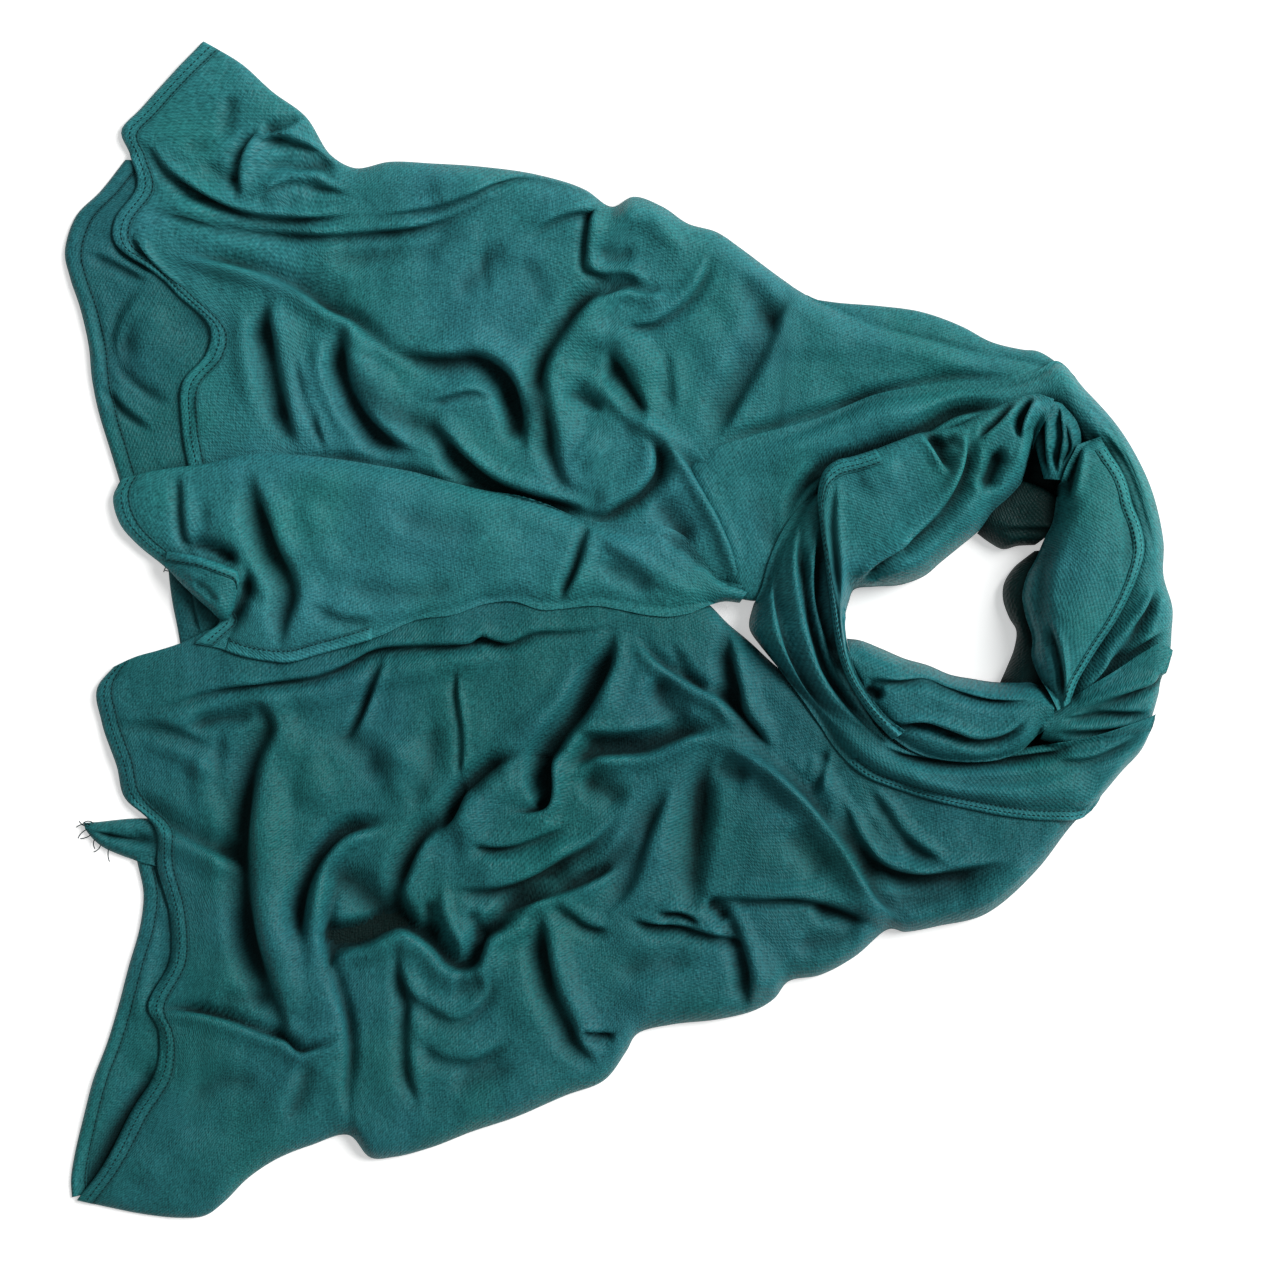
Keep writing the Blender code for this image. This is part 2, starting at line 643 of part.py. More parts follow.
def stretch(panel, heap, cell=CELL):
    """Wall of one stretch: lattice in plan, and the height of its underside and of its outer face."""
    points, crown, shares, stations = plan_lattice(panel, cell)
    rows, columns = points.shape[:2]
    flat = points.reshape(-1, 2)
    across = np.linalg.norm(points[:, 0] - points[:, -1], axis=1)
    from_far = across[:, None] * shares[None]
    from_near = across[:, None] * (1 - shares[None])
    far_roll = np.minimum(panel.get("far_roll", EDGE_ROLL), across / 2)[:, None]
    near_roll = np.minimum(panel.get("near_roll", EDGE_ROLL), across / 2)[:, None]
    crown = np.repeat(crown[:, None], columns, axis=1)
    far_z = np.minimum(panel.get("far_z", WALL), crown)
    near_z = np.minimum(panel.get("near_z", WALL), crown)
    top = crown - (crown - far_z) * (1 - quarter_round(from_far / far_roll))
    top = top - (crown - near_z) * (1 - quarter_round(from_near / near_roll))
    for key, run in (("start_z", stations), ("end_z", stations[-1] - stations)):
        if key in panel:
            sink = 1 - quarter_round(run / EDGE_ROLL)
            top = top - np.clip(top - panel[key], 0, None) * sink[:, None]
    inside = np.clip(np.minimum(from_far, from_near) / FLAT_EDGE, 0, 1)
    top = top + fold_heights(flat, panel.get("folds", ())).reshape(rows, columns) * inside
    top = np.maximum(top, WALL)
    slope = steepness(points, top)
    wall = np.minimum(WALL * np.sqrt(1 + slope**2), STEEPEST_WALL)
    under = np.maximum(top - wall, 0.0)
    under = np.where(under < LAYER_GAP, 0.0, under)
    under, wall = under.ravel(), wall.ravel()
    triangles = quads_to_triangles(rows, columns)
    need = heap.under(sample(flat, triangles))
    if panel.get("on_floor"):
        need = np.where(need > 0, need + LAYER_GAP, 0.0)
    else:
        need = need + LAYER_GAP
    under = lifted(under, need, triangles)
    return {"name": panel["name"], "colour": panel["colour"], "plan": flat, "under": under,
            "top": under + wall, "triangles": triangles, "shape": (rows, columns)}


def lifted(under, need, triangles):
    """Raises an underside, a little at a time, until each triangle clears what it needs to."""
    each = np.arange(len(triangles))
    for _turn in range(LIFT_TURNS):
        lack = need - sample(under, triangles)
        worst = np.argmax(lack, axis=1)
        short = np.clip(lack[each, worst], 0, None)
        if short.max() < LIFT_ENOUGH:
            break
        weight = WEIGHTS[worst]
        step = short[:, None] * weight / np.sum(weight**2, axis=1)[:, None]
        move = np.zeros(len(under))
        for k in range(3):
            np.maximum.at(move, triangles[:, k], step[:, k])
        under = under + move
    short = np.clip(need - sample(under, triangles), 0, None).max(axis=1)
    move = np.zeros(len(under))
    for k in range(3):
        np.maximum.at(move, triangles[:, k], short)
    return under + move


def steepness(points, top):
    """Slope of the lattice's heights, in plan."""
    spread = np.zeros(top.shape)
    along_rows = np.abs(np.diff(top, axis=0)) / np.linalg.norm(np.diff(points, axis=0), axis=2)
    across_rows = np.abs(np.diff(top, axis=1)) / np.linalg.norm(np.diff(points, axis=1), axis=2)
    spread[:-1] = np.maximum(spread[:-1], along_rows)
    spread[1:] = np.maximum(spread[1:], along_rows)
    spread[:, :-1] = np.maximum(spread[:, :-1], across_rows)
    spread[:, 1:] = np.maximum(spread[:, 1:], across_rows)
    return spread


def sample(values, triangles):
    """Values at the sample places of each triangle."""
    corners = values[triangles]
    if values.ndim == 2:
        return np.einsum("sk,tkc->tsc", WEIGHTS, corners)
    return np.einsum("sk,tk->ts", WEIGHTS, corners)


def lay(heap, wall):
    """Adds a wall's outer face to the heap."""
    heap.lay(sample(wall["plan"], wall["triangles"]), sample(wall["top"], wall["triangles"]))


def hem(wall, name, side, first=0.0, last=1.0):
    """A turned hem on one edge of a wall: the wall's own edge points, moved out."""
    rows, columns = wall["shape"]
    index = np.arange(rows * columns).reshape(rows, columns)
    if side == "start":
        band = index[0:2, :].T
    elif side == "far":
        band = index[:, 0:3]
    else:
        band = index[:, columns - 3:columns]
    a, b = int(first * (len(band) - 1)), int(math.ceil(last * (len(band) - 1)))
    band = band[a:b + 1]
    under = wall["top"][band].ravel() + HEM_GAP
    shape = band.shape
    return {"name": name, "colour": wall["colour"], "plan": wall["plan"][band].reshape(-1, 2),
            "under": under, "top": under + HEM_WALL,
            "triangles": quads_to_triangles(*shape), "shape": shape}


def core(name, sections, ceiling, colour, end_outline=None):
    """Hidden layers of the folded cloth: one solid, flat below, up to the walls above it."""
    panel = {"name": name, "sections": sections, "colour": colour, "end_outline": end_outline}
    points, crown, shares, stations = plan_lattice(panel, CORE_CELL)
    rows, columns = points.shape[:2]
    flat = points.reshape(-1, 2)
    triangles = quads_to_triangles(rows, columns)
    top = np.repeat(crown[:, None], columns, axis=1).ravel()
    room = ceiling.over(sample(flat, triangles)) - CORE_GAP
    excess = np.clip(sample(top, triangles) - room, 0, None).max(axis=1)
    lowered = np.zeros(len(flat))
    for k in range(3):
        np.maximum.at(lowered, triangles[:, k], excess)
    top = np.minimum(top - lowered, rim_layers(rows, columns).ravel())
    top = np.maximum(top, FLOOR_LAYER)
    return {"name": name, "colour": colour, "plan": flat, "under": np.zeros(len(flat)),
            "top": top, "triangles": triangles, "shape": (rows, columns)}


def rim_layers(rows, columns):
    """Most height of the hidden layers: one layer at the rim, one more at each row inside it."""
    from_row = np.minimum(np.arange(rows), np.arange(rows)[::-1])
    from_column = np.minimum(np.arange(columns), np.arange(columns)[::-1])
    inside = np.minimum(from_row[:, None], from_column[None, :])
    return np.where(inside < RIM_LAYERS, LAYER_HEIGHT * (inside + 1), SPAN)


class Ceiling:
    """Lowest underside of the walls, on a plan grid."""

    def __init__(self):
        self.count = int(2 * SPAN / RASTER)
        self.low = np.full((self.count, self.count), HIGHEST)

    def hang(self, wall):
        points = sample(wall["plan"], wall["triangles"])
        place = np.clip(((points + SPAN) / RASTER).astype(int), 1, self.count - 2)
        np.minimum.at(self.low, (place[..., 0], place[..., 1]), sample(wall["under"], wall["triangles"]))

    def over(self, points):
        place = np.clip(((points + SPAN) / RASTER).astype(int), 1, self.count - 2)
        i, j = place[..., 0], place[..., 1]
        best = self.low[i, j]
        for a in (-1, 0, 1):
            for b in (-1, 0, 1):
                best = np.minimum(best, self.low[i + a, j + b])
        return best


# Sections of the hidden layers, well inside the outline: far x, far y, near x, near y, most height.
TAILS_CORE = (
    (-212, 296, -212, -304, 16),
    (-190, 282, -190, -294, 17),
    (-165, 262, -165, -288, 18),
    (-140, 262, -140, -298, 20),
    (-115, 262, -115, -294, 21),
    (-90, 260, -90, -284, 22),
    (-60, 256, -60, -274, 22),
    (-30, 248, -30, -260, 22),
    (-5, 236, -5, -242, 22),
    (20, 238, 20, -222, 22),
    (45, 224, 48, -216, 22),
    (72, 208, 82, -206, 22),
    (93, 196, 126, -180, 22),
)
TAILS_CORE_END = (
    (0.00, 93, 196),
    (0.15, 90, 140),
    (0.27, 86, 96),
    (0.36, 66, 62),
    (0.43, 46, 32),
    (0.50, 40, 8),
    (0.56, 46, -14),
    (0.64, 76, -42),
    (0.72, 96, -76),
    (0.80, 106, -112),
    (0.90, 118, -152),
    (1.00, 126, -180),
)
RING_CORE = (
    (92, -6, 125, -6, 36),
    (93, 10, 124, 6, 36),
    (98, 28, 126, 18, 36),
    (101, 52, 131, 28, 36),
    (99, 90, 140, 34, 36),
    (102, 140, 154, 36, 36),
    (116, 180, 170, 40, 36),
    (150, 174, 184, 48, 36),
    (185, 163, 197, 58, 36),
    (218, 153, 210, 68, 36),
    (243, 149, 224, 66, 36),
    (262, 144, 238, 62, 36),
    (277, 126, 250, 60, 36),
    (291, 108, 257, 54, 36),
    (303, 82, 255, 44, 36),
    (311, 54, 248, 34, 36),
    (311, 34, 243, 24, 36),
    (315, 14, 243, 14, 36),
    (315, -4, 246, 4, 36),
    (311, -22, 248, -4, 36),
    (305, -44, 246, -16, 36),
    (294, -66, 242, -28, 36),
    (276, -92, 236, -42, 36),
    (258, -116, 222, -43, 36),
    (236, -140, 206, -40, 36),
    (212, -156, 190, -36, 36),
    (182, -164, 176, -31, 36),
    (154, -160, 162, -26, 36),
    (132, -146, 150, -20, 36),
    (117, -110, 140, -18, 36),
    (107, -70, 133, -16, 36),
    (99, -38, 128, -13, 36),
    (93, -11, 125, -9.5, 36),
)


def solid_object(wall):
    """Closed mesh of a wall: outer face, underside and rim."""
    rows, columns = wall["shape"]
    count = rows * columns
    top = np.column_stack([wall["plan"], wall["top"]]) * MM
    under = np.column_stack([wall["plan"], wall["under"]]) * MM
    triangles = wall["triangles"]
    corner = wall["plan"][triangles]
    turn = ((corner[:, 1, 0] - corner[:, 0, 0]) * (corner[:, 2, 1] - corner[:, 0, 1])
            - (corner[:, 1, 1] - corner[:, 0, 1]) * (corner[:, 2, 0] - corner[:, 0, 0]))
    if np.sum(turn) < 0:
        triangles = triangles[:, ::-1]
        turn = -turn
    if turn.min() <= LEAST_TRIANGLE:
        print(wall["name"], "is folded back in plan at", int(np.sum(turn <= LEAST_TRIANGLE)), "triangles")
    index = np.arange(count).reshape(rows, columns)
    rim = np.concatenate([index[0, :-1], index[:-1, -1], index[-1, :0:-1], index[:0:-1, 0]])
    following = np.roll(rim, -1)
    ring = np.stack([rim, following, following + count, rim + count], 1)
    loop = wall["plan"][rim]
    area = np.sum(loop[:, 0] * np.roll(loop[:, 1], -1) - loop[:, 1] * np.roll(loop[:, 0], -1))
    ring = ring[:, ::-1] if area > 0 else ring
    faces = [tuple(int(i) for i in t) for t in triangles]
    faces += [tuple(int(i) + count for i in t[::-1]) for t in triangles]
    for a, b, c, d in ring:
        faces.append((int(a), int(b), int(c)))
        faces.append((int(a), int(c), int(d)))
    mesh = bpy.data.meshes.new(wall["name"])
    mesh.from_pydata([tuple(p) for p in np.concatenate([top, under])], [], faces)
    mesh.update()
    mesh.polygons.foreach_set("use_smooth", [True] * len(mesh.polygons))
    body = bpy.data.objects.new(wall["name"], mesh)
    bpy.context.scene.collection.objects.link(body)
    body.data.materials.append(cloth_material(wall["name"], wall["colour"]))
    return body


def cloth_material(name, colour):
    """Satin cloth in one colour."""
    material = bpy.data.materials.new(name + " cloth")
    material.use_nodes = True
    shader = material.node_tree.nodes["Principled BSDF"]
    shader.inputs["Base Color"].default_value = (*colour, 1.0)
    shader.inputs["Roughness"].default_value = CLOTH_ROUGHNESS
    shader.inputs["Metallic"].default_value = 0.0
    return material


# The stretches, from the lowest to the topmost.
STRETCHES = (
    {"name": "upper_back_end", "sections": UPPER_BACK_END, "colour": TEAL_LOW, "far_roll": 6,
     "on_floor": True},
    {"name": "lower_back_end", "sections": LOWER_BACK_END, "colour": TEAL_LOW, "far_roll": 6,
     "on_floor": True},
    {"name": "middle_back_end", "sections": MIDDLE_BACK_END, "colour": TEAL_LOW, "far_roll": 6,
     "on_floor": True},
    {"name": "corner_tab", "sections": CORNER_TAB, "colour": TEAL_LOW, "far_roll": 8, "near_roll": 8,
     "on_floor": True},
    {"name": "outer_back_strip", "sections": OUTER_BACK_STRIP, "colour": TEAL_LIT, "near_z": 6,
     "on_floor": True},
    {"name": "upper_tail", "sections": UPPER_TAIL, "start_outline": UPPER_END, "colour": TEAL_LIT,
     "near_z": 6, "near_roll": 40, "start_z": 3, "folds": UPPER_FOLDS, "on_floor": True},
    {"name": "lower_tail", "sections": LOWER_TAIL, "start_outline": LOWER_END, "colour": TEAL_MID,
     "far_z": 6, "far_roll": 26, "start_z": 3, "folds": LOWER_FOLDS, "on_floor": True},
    {"name": "middle_flap", "sections": MIDDLE_FLAP, "start_outline": FLAP_END, "colour": TEAL_LIT,
     "far_z": 8, "near_z": 8, "start_z": 4, "folds": FLAP_FOLDS, "on_floor": True},
    {"name": "turned_corner", "sections": TURNED_CORNER, "colour": TEAL_MID, "far_z": 2, "near_z": 2,
     "far_roll": 6, "near_roll": 6},
    {"name": "ring_band", "sections": RING_BAND, "start_outline": BAND_START, "colour": TEAL_LIT,
     "near_z": 12, "near_roll": 24, "far_z": 3, "start_z": 6, "folds": BAND_FOLDS, "on_floor": True},
    {"name": "ring_inner_top", "sections": RING_INNER_TOP, "colour": TEAL_DARK, "far_z": 2, "near_z": 14,
     "on_floor": True},
    {"name": "ring_inner_right", "sections": RING_INNER_RIGHT, "colour": TEAL_DARK, "far_z": 2,
     "near_z": 14, "on_floor": True},
    {"name": "ring_fan", "sections": RING_FAN, "colour": TEAL_MID, "far_z": 16, "near_z": 16,
     "end_z": 4, "folds": FAN_FOLDS, "on_floor": True},
    {"name": "ring_left_wrap", "sections": RING_LEFT_WRAP, "colour": TEAL_MID, "far_z": 3, "near_z": 18,
     "folds": LEFT_WRAP_FOLDS, "on_floor": True},
    {"name": "ring_strands", "sections": RING_STRANDS, "colour": TEAL_DARK, "far_z": 24, "near_z": 24,
     "on_floor": True},
    {"name": "ring_inner_bottom", "sections": RING_INNER_BOTTOM, "colour": TEAL_MID, "far_z": 4,
     "near_z": 20, "folds": INNER_BOTTOM_FOLDS, "on_floor": True},
    {"name": "ring_right_wrap", "sections": RING_RIGHT_WRAP, "colour": TEAL_LIT, "far_z": 26, "near_z": 6,
     "near_roll": 20, "folds": RIGHT_WRAP_FOLDS, "on_floor": True},
    {"name": "ring_top_wrap", "sections": RING_TOP_WRAP, "colour": TEAL_LIT, "far_z": 28, "near_z": 6,
     "near_roll": 20, "folds": TOP_WRAP_FOLDS, "on_floor": True},
)

# Turned hems. One row is a name, the edge of its stretch, and the shares of that edge
# where it starts and ends.
HEMS = (
    ("upper_back_end_hem", "far", 0.0, 1.0),
    ("lower_back_end_hem", "far", 0.0, 1.0),
    ("upper_tail_hem", "start", 0.0, 1.0),
    ("lower_tail_hem", "start", 0.0, 1.0),
    ("middle_flap_hem", "start", 0.0, 0.98),
    ("middle_flap_lower_hem", "near", 0.08, 0.36),
    ("ring_left_wrap_hem", "far", 0.50, 0.86),
    ("ring_right_wrap_hem", "far", 0.06, 0.96),
    ("ring_top_wrap_hem", "far", 0.40, 0.96),
)


def main():
    for old in list(bpy.data.objects):
        bpy.data.objects.remove(old, do_unlink=True)
    heap = Heap()
    ceiling = Ceiling()
    walls = []
    for panel in STRETCHES:
        wall = stretch(panel, heap)
        pieces = [wall] + [hem(wall, *row) for row in HEMS if row[0].startswith(panel["name"])]
        for piece in pieces:
            lay(heap, piece)
            ceiling.hang(piece)
        walls += pieces
    walls.append(core("tails_hidden_layers", TAILS_CORE, ceiling, TEAL_DARK, TAILS_CORE_END))
    walls.append(core("ring_hidden_layers", RING_CORE, ceiling, TEAL_DARK))
    corners = np.concatenate([wall["plan"] for wall in walls])
    middle = (corners.min(axis=0) + corners.max(axis=0)) / 2
    for wall in walls:
        wall["plan"] = wall["plan"] - middle
        solid_object(wall)


main()
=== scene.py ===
# Hijab headscarf, laid down flat: the look of the cloth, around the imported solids.
# Every table is in millimetres, in the plan of the laid scarf: x to the right, y to the top, z up.
# Change the dictionaries to change the cloth; each piece has its own, beside the stage that lays it.
import math

import bpy
import numpy as np
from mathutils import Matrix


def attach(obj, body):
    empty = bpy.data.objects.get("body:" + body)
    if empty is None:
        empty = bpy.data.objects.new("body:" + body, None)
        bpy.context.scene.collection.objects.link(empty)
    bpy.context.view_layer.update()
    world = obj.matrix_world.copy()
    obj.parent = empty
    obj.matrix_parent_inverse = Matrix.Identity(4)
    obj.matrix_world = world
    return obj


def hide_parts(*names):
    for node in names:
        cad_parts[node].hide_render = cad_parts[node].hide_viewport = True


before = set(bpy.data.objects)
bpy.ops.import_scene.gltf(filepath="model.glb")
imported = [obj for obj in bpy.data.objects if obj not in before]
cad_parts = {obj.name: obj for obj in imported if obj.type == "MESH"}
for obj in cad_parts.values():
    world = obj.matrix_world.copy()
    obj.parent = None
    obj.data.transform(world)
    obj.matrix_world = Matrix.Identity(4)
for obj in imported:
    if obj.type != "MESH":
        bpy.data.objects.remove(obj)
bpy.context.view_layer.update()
print("frame loaded:", len(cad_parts), "nodes")

# How fine the cloth is made, and how it lies.
cloth = {
    "mm": 0.001,
    "planShift": (1.255, 0.751),   # from the tables' origin to the middle of the laid scarf
    "cell": 2.0,                   # lattice step on the wide stretches
    "fineCell": 1.6,               # and on the narrow ones of the loop
    "thickness": 0.55,
    "layerGap": 0.35,
    "rimSteps": (0.0, 0.5, 1.2, 2.2, 3.6),
    "rimRoll": 16.0,
    "firmEdge": 7.0,               # folds fade out this near to a long edge
    "lipHalf": 4.2,                # at most, from a fold's line to its crest, and to its slot
    "foldStep": 2.5,
    "raster": 1.0,
    "span": 380.0,
    "restlessness": 1.1,           # height of the small waves of cloth that was handled
    "seed": 11,
}


def smoothLine(knots, values, at):
    # a cubic curve through the values, without overshoot at uneven steps
    knots = np.asarray(knots, float)
    values = np.asarray(values, float)
    slope = np.gradient(values, knots, axis=0)
    k = np.clip(np.searchsorted(knots, at, side="right") - 1, 0, len(knots) - 2)
    step = knots[k + 1] - knots[k]
    t = (at - knots[k]) / step
    weights = [2 * t**3 - 3 * t**2 + 1, t**3 - 2 * t**2 + t, 3 * t**2 - 2 * t**3, t**3 - t**2]
    if values.ndim == 2:
        weights = [w[:, None] for w in weights]
        step = step[:, None]
    a, b, c, d = weights
    return a * values[k] + b * step * slope[k] + c * values[k + 1] + d * step * slope[k + 1]


def lengthAlong(points):
    steps = np.linalg.norm(np.diff(points, axis=0), axis=1)
    return np.concatenate([[0.0], np.cumsum(steps)])


def evenLine(places, step):
    places = np.array(places, float)
    length = lengthAlong(places)
    count = max(5, int(length[-1] / step) + 1)
    return smoothLine(length, places, np.linspace(0, length[-1], count))


def softBump(t):
    return np.where(np.abs(t) < 1, (1 - np.clip(t, -1, 1) ** 2) ** 2, 0.0)


def rolledRise(t):
    # the rise of a rolled edge: upright at 0, level at 1
    return np.sqrt(np.clip(1 - (1 - np.clip(t, 0, 1)) ** 2, 0, 1))


def foldField(points, folds):
    # height, sideways move and depth of painted shade that the folds give each point in plan
    height = np.zeros(len(points))
    move = np.zeros((len(points), 2))
    pocket = np.zeros(len(points))
    for name, rise, drop, left, right, *places in folds:
        line = evenLine(places, cloth["foldStep"])
        half = min(cloth["lipHalf"], 0.4 * left, 0.4 * right, 1.5 + 0.085 * (left + right))
        reach = max(left, right) + 2 * half
        near = np.all((points > line.min(axis=0) - reach) & (points < line.max(axis=0) + reach), axis=1)
        index = np.flatnonzero(near)
        if not len(index):
            continue
        some = points[index]
        start = line[:-1]
        step = np.diff(line, axis=0)
        size = np.maximum(np.sum(step**2, axis=1), 1e-6)
        offset = some[:, None, :] - start[None]
        share = np.clip(np.sum(offset * step, axis=2) / size, 0, 1)
        away = offset - share[..., None] * step
        nearest = np.argmin(np.sum(away**2, axis=2), axis=1)
        row = np.arange(len(index))
        gap = away[row, nearest]
        along = step[nearest] / np.sqrt(size[nearest])[:, None]
        side = np.sign(along[:, 0] * gap[:, 1] - along[:, 1] * gap[:, 0])
        distance = side * np.linalg.norm(gap, axis=1)   # plus on the left of the line's run
        place = (nearest + share[row, nearest]) / len(step)
        fade = np.clip(np.minimum(place, 1 - place) * 3.4 + 0.06, 0, 1)
        fade = fade * fade * (3 - 2 * fade)
        distance = distance / (0.45 + 0.55 * fade)      # narrower towards both ends
        run = (nearest + share[row, nearest]) * cloth["foldStep"]
        fade = fade * (0.86 + 0.14 * np.sin(run / 11 + len(line)))
        if rise and drop:
            top = half + 0.16 * left
            crest, slot = distance - top, distance + half
            up = softBump(np.where(crest > 0, crest / (left - top), crest / (top + 1.4 * half)))
            down = softBump(np.where(slot < 0, slot / (right - half), slot / (top + half)))
            lean = min(3.0, 0.26 * (rise + drop))
            toRight = np.stack([along[:, 1], -along[:, 0]], axis=1)
            pull = lean * (softBump(crest / (2.0 * top)) - softBump(slot / (2.2 * half))) * fade
            move[index] += toRight * pull[:, None]
        else:
            spread = softBump(np.where(distance > 0, distance / left, distance / right))
            up, down = spread, 0.55 * spread + 0.45 * spread**3
        height[index] += (rise * up - drop * down) * fade
        # painted shade: the deeper and nearer the slot, the darker the colour here
        pocket[index] += np.clip(drop / 10.5, 0, 1) * down**1.7 * fade
    return height, move, np.clip(pocket, 0, 1)


def restless(points, seed, wavelength=46.0):
    # small uneven waves, the same on each run
    rng = np.random.default_rng(cloth["seed"] + seed)
    wave = np.zeros(len(points))
    for octave in range(3):
        for _ in range(5):
            angle = rng.uniform(0, math.pi)
            size = wavelength / 1.7**octave * rng.uniform(0.8, 1.3)
            phase = rng.uniform(0, 2 * math.pi)
            bend = rng.uniform(0.5, 1.0)
            u = points[:, 0] * math.cos(angle) + points[:, 1] * math.sin(angle)
            v = points[:, 1] * math.cos(angle) - points[:, 0] * math.sin(angle)
            wave += np.sin(2 * math.pi * (u + 6 * bend * np.sin(v / size)) / size + phase) / 1.9**octave
    return wave / 4


class Heap:
    # the top of all the cloth laid so far, on a plan grid

    def __init__(self):
        self.count = int(2 * cloth["span"] / cloth["raster"])
        self.top = np.zeros((self.count, self.count))
        self.low = np.full((self.count, self.count), 60.0)

    def cells(self, points):
        place = ((points + cloth["span"]) / cloth["raster"]).astype(int)
        return np.clip(place, 3, self.count - 4).T

    def lay(self, points, heights, triangles):
        shares = [(a / 3, b / 3, (3 - a - b) / 3) for a in range(4) for b in range(4 - a)]
        for w in shares:
            spot = sum(w[k] * points[triangles[:, k]] for k in range(3))
            level = sum(w[k] * heights[triangles[:, k]] for k in range(3))
            place = tuple(self.cells(spot))
            np.maximum.at(self.top, place, level)
            np.minimum.at(self.low, place, level - cloth["thickness"])

    def widened(self, reach):
        grid = self.top
        for _ in range(reach):
            for axis in (0, 1):
                grid = np.maximum(grid, np.maximum(np.roll(grid, 1, axis), np.roll(grid, -1, axis)))
        return grid

    def softened(self, grid, turns):
        for _ in range(turns):
            for axis in (0, 1):
                grid = (np.roll(grid, 1, axis) + np.roll(grid, -1, axis) + 2 * grid) / 4
        return grid

    def under(self, points, soft):
        i, j = self.cells(points)
        close = self.widened(1)
        bridge = self.softened(self.widened(3), 8) if soft else close
        return np.maximum(close[i, j], np.where(close[i, j] > 0, bridge[i, j], 0)), close[i, j]


heap = Heap()


def planLattice(panel):
    # points in plan: stations along the stretch, columns across it
    table = np.array(panel["sections"], float)
    cell = panel.get("cell", cloth["cell"])
    farSteps = np.linalg.norm(np.diff(table[:, 0:2], axis=0), axis=1)
    nearSteps = np.linalg.norm(np.diff(table[:, 2:4], axis=0), axis=1)
    length = np.concatenate([[0.0], np.cumsum(np.maximum((farSteps + nearSteps) / 2, 1.0))])
    rim = np.array(cloth["rimSteps"])
    count = max(4, int(round((length[-1] - 2 * rim[-1]) / cell)))
    stations = np.concatenate([rim, np.linspace(rim[-1], length[-1] - rim[-1], count + 1)[1:-1],
                               length[-1] - rim[::-1]])
    rows = smoothLine(length, table, stations)
    width = float(np.mean(np.linalg.norm(table[:, 0:2] - table[:, 2:4], axis=1)))
    inner = max(4, int(round((width - 2 * rim[-1]) / cell)))
    shares = np.concatenate([rim / width, np.linspace(rim[-1] / width, 1 - rim[-1] / width, inner + 1)[1:-1],
                             1 - rim[::-1] / width])
    points = rows[:, None, 0:2] * (1 - shares[None, :, None]) + rows[:, None, 2:4] * shares[None, :, None]
    for key, row, run in (("startOutline", 0, stations), ("endOutline", -1, stations[-1] - stations)):
        if panel.get(key):
            outline = np.array(panel[key], float)
            shift = smoothLine(outline[:, 0], outline[:, 1:], shares) - points[row]
            reach = np.maximum(np.linalg.norm(shift, axis=1) * 2.2, 60.0)
            blend = np.clip(1 - run[:, None] / reach[None], 0, 1) ** 1.5
            points = points + blend[..., None] * shift[None]
    return points, rows[:, 4], shares, stations


def layStretch(panel):
    # the thin wall of one stretch, laid on the heap
    points, crown, shares, stations = planLattice(panel)
    rows, columns = points.shape[:2]
    across = np.linalg.norm(points[:, 0] - points[:, -1], axis=1)
    fromFar = across[:, None] * shares[None]
    fromNear = across[:, None] * (1 - shares[None])
    level = np.repeat(crown[:, None], columns, axis=1)
    top = level.copy()
    for key, away in (("far", fromFar), ("near", fromNear)):
        roll = np.minimum(panel.get(key + "Roll", cloth["rimRoll"]), across / 2)[:, None]
        edge = np.minimum(panel.get(key + "Z", 1.0), level)
        top = top - (level - edge) * (1 - rolledRise(away / roll))
    for key, run in (("startZ", stations), ("endZ", stations[-1] - stations)):
        if key in panel:
            sink = 1 - rolledRise(run / cloth["rimRoll"])
            top = top - np.clip(top - panel[key], 0, None) * sink[:, None]
    flat = points.reshape(-1, 2)
    firm = np.clip(np.minimum(fromFar, fromNear) / panel.get("firmEdge", cloth["firmEdge"]), 0, 1).ravel()
    height, move, pocket = foldField(flat, panel.get("folds", ()))
    waves = cloth["restlessness"] * panel.get("restless", 1.0) * restless(flat, len(panel["node"]))
    top = top.ravel() + (height + waves) * firm
    flat = flat + move * firm[:, None]
    top = np.maximum(top, 0.9)
    need, close = heap.under(flat, panel.get("bridges", True))
    lift = np.where(need > 0, need + cloth["layerGap"] + cloth["thickness"], 0)
    lifted = np.maximum(top, np.maximum(lift, np.where(close > 0, close + cloth["layerGap"] + cloth["thickness"], 0)))
    # a stretch that comes out from under another one starts below it
    hold = np.clip(stations / panel["tuck"] - 0.4, 0, 1) if "tuck" in panel else np.ones(rows)
    hold = np.repeat(hold[:, None], columns, axis=1).ravel()
    top = top * (1 - hold) + lifted * hold
    index = np.arange(rows * columns).reshape(rows, columns)
    a, b, c, d = (index[:-1, :-1].ravel(), index[1:, :-1].ravel(), index[1:, 1:].ravel(), index[:-1, 1:].ravel())
    triangles = np.concatenate([np.stack([a, b, c], 1), np.stack([a, c, d], 1)])
    heap.lay(flat, top, triangles)
    alongCloth = np.repeat(stations[:, None], columns, axis=1).ravel()
    acrossCloth = fromFar.ravel()
    return {"panel": panel, "plan": flat, "top": top, "shape": (rows, columns), "pocket": pocket,
            "uv": np.stack([alongCloth, acrossCloth], 1), "stations": stations, "across": across}


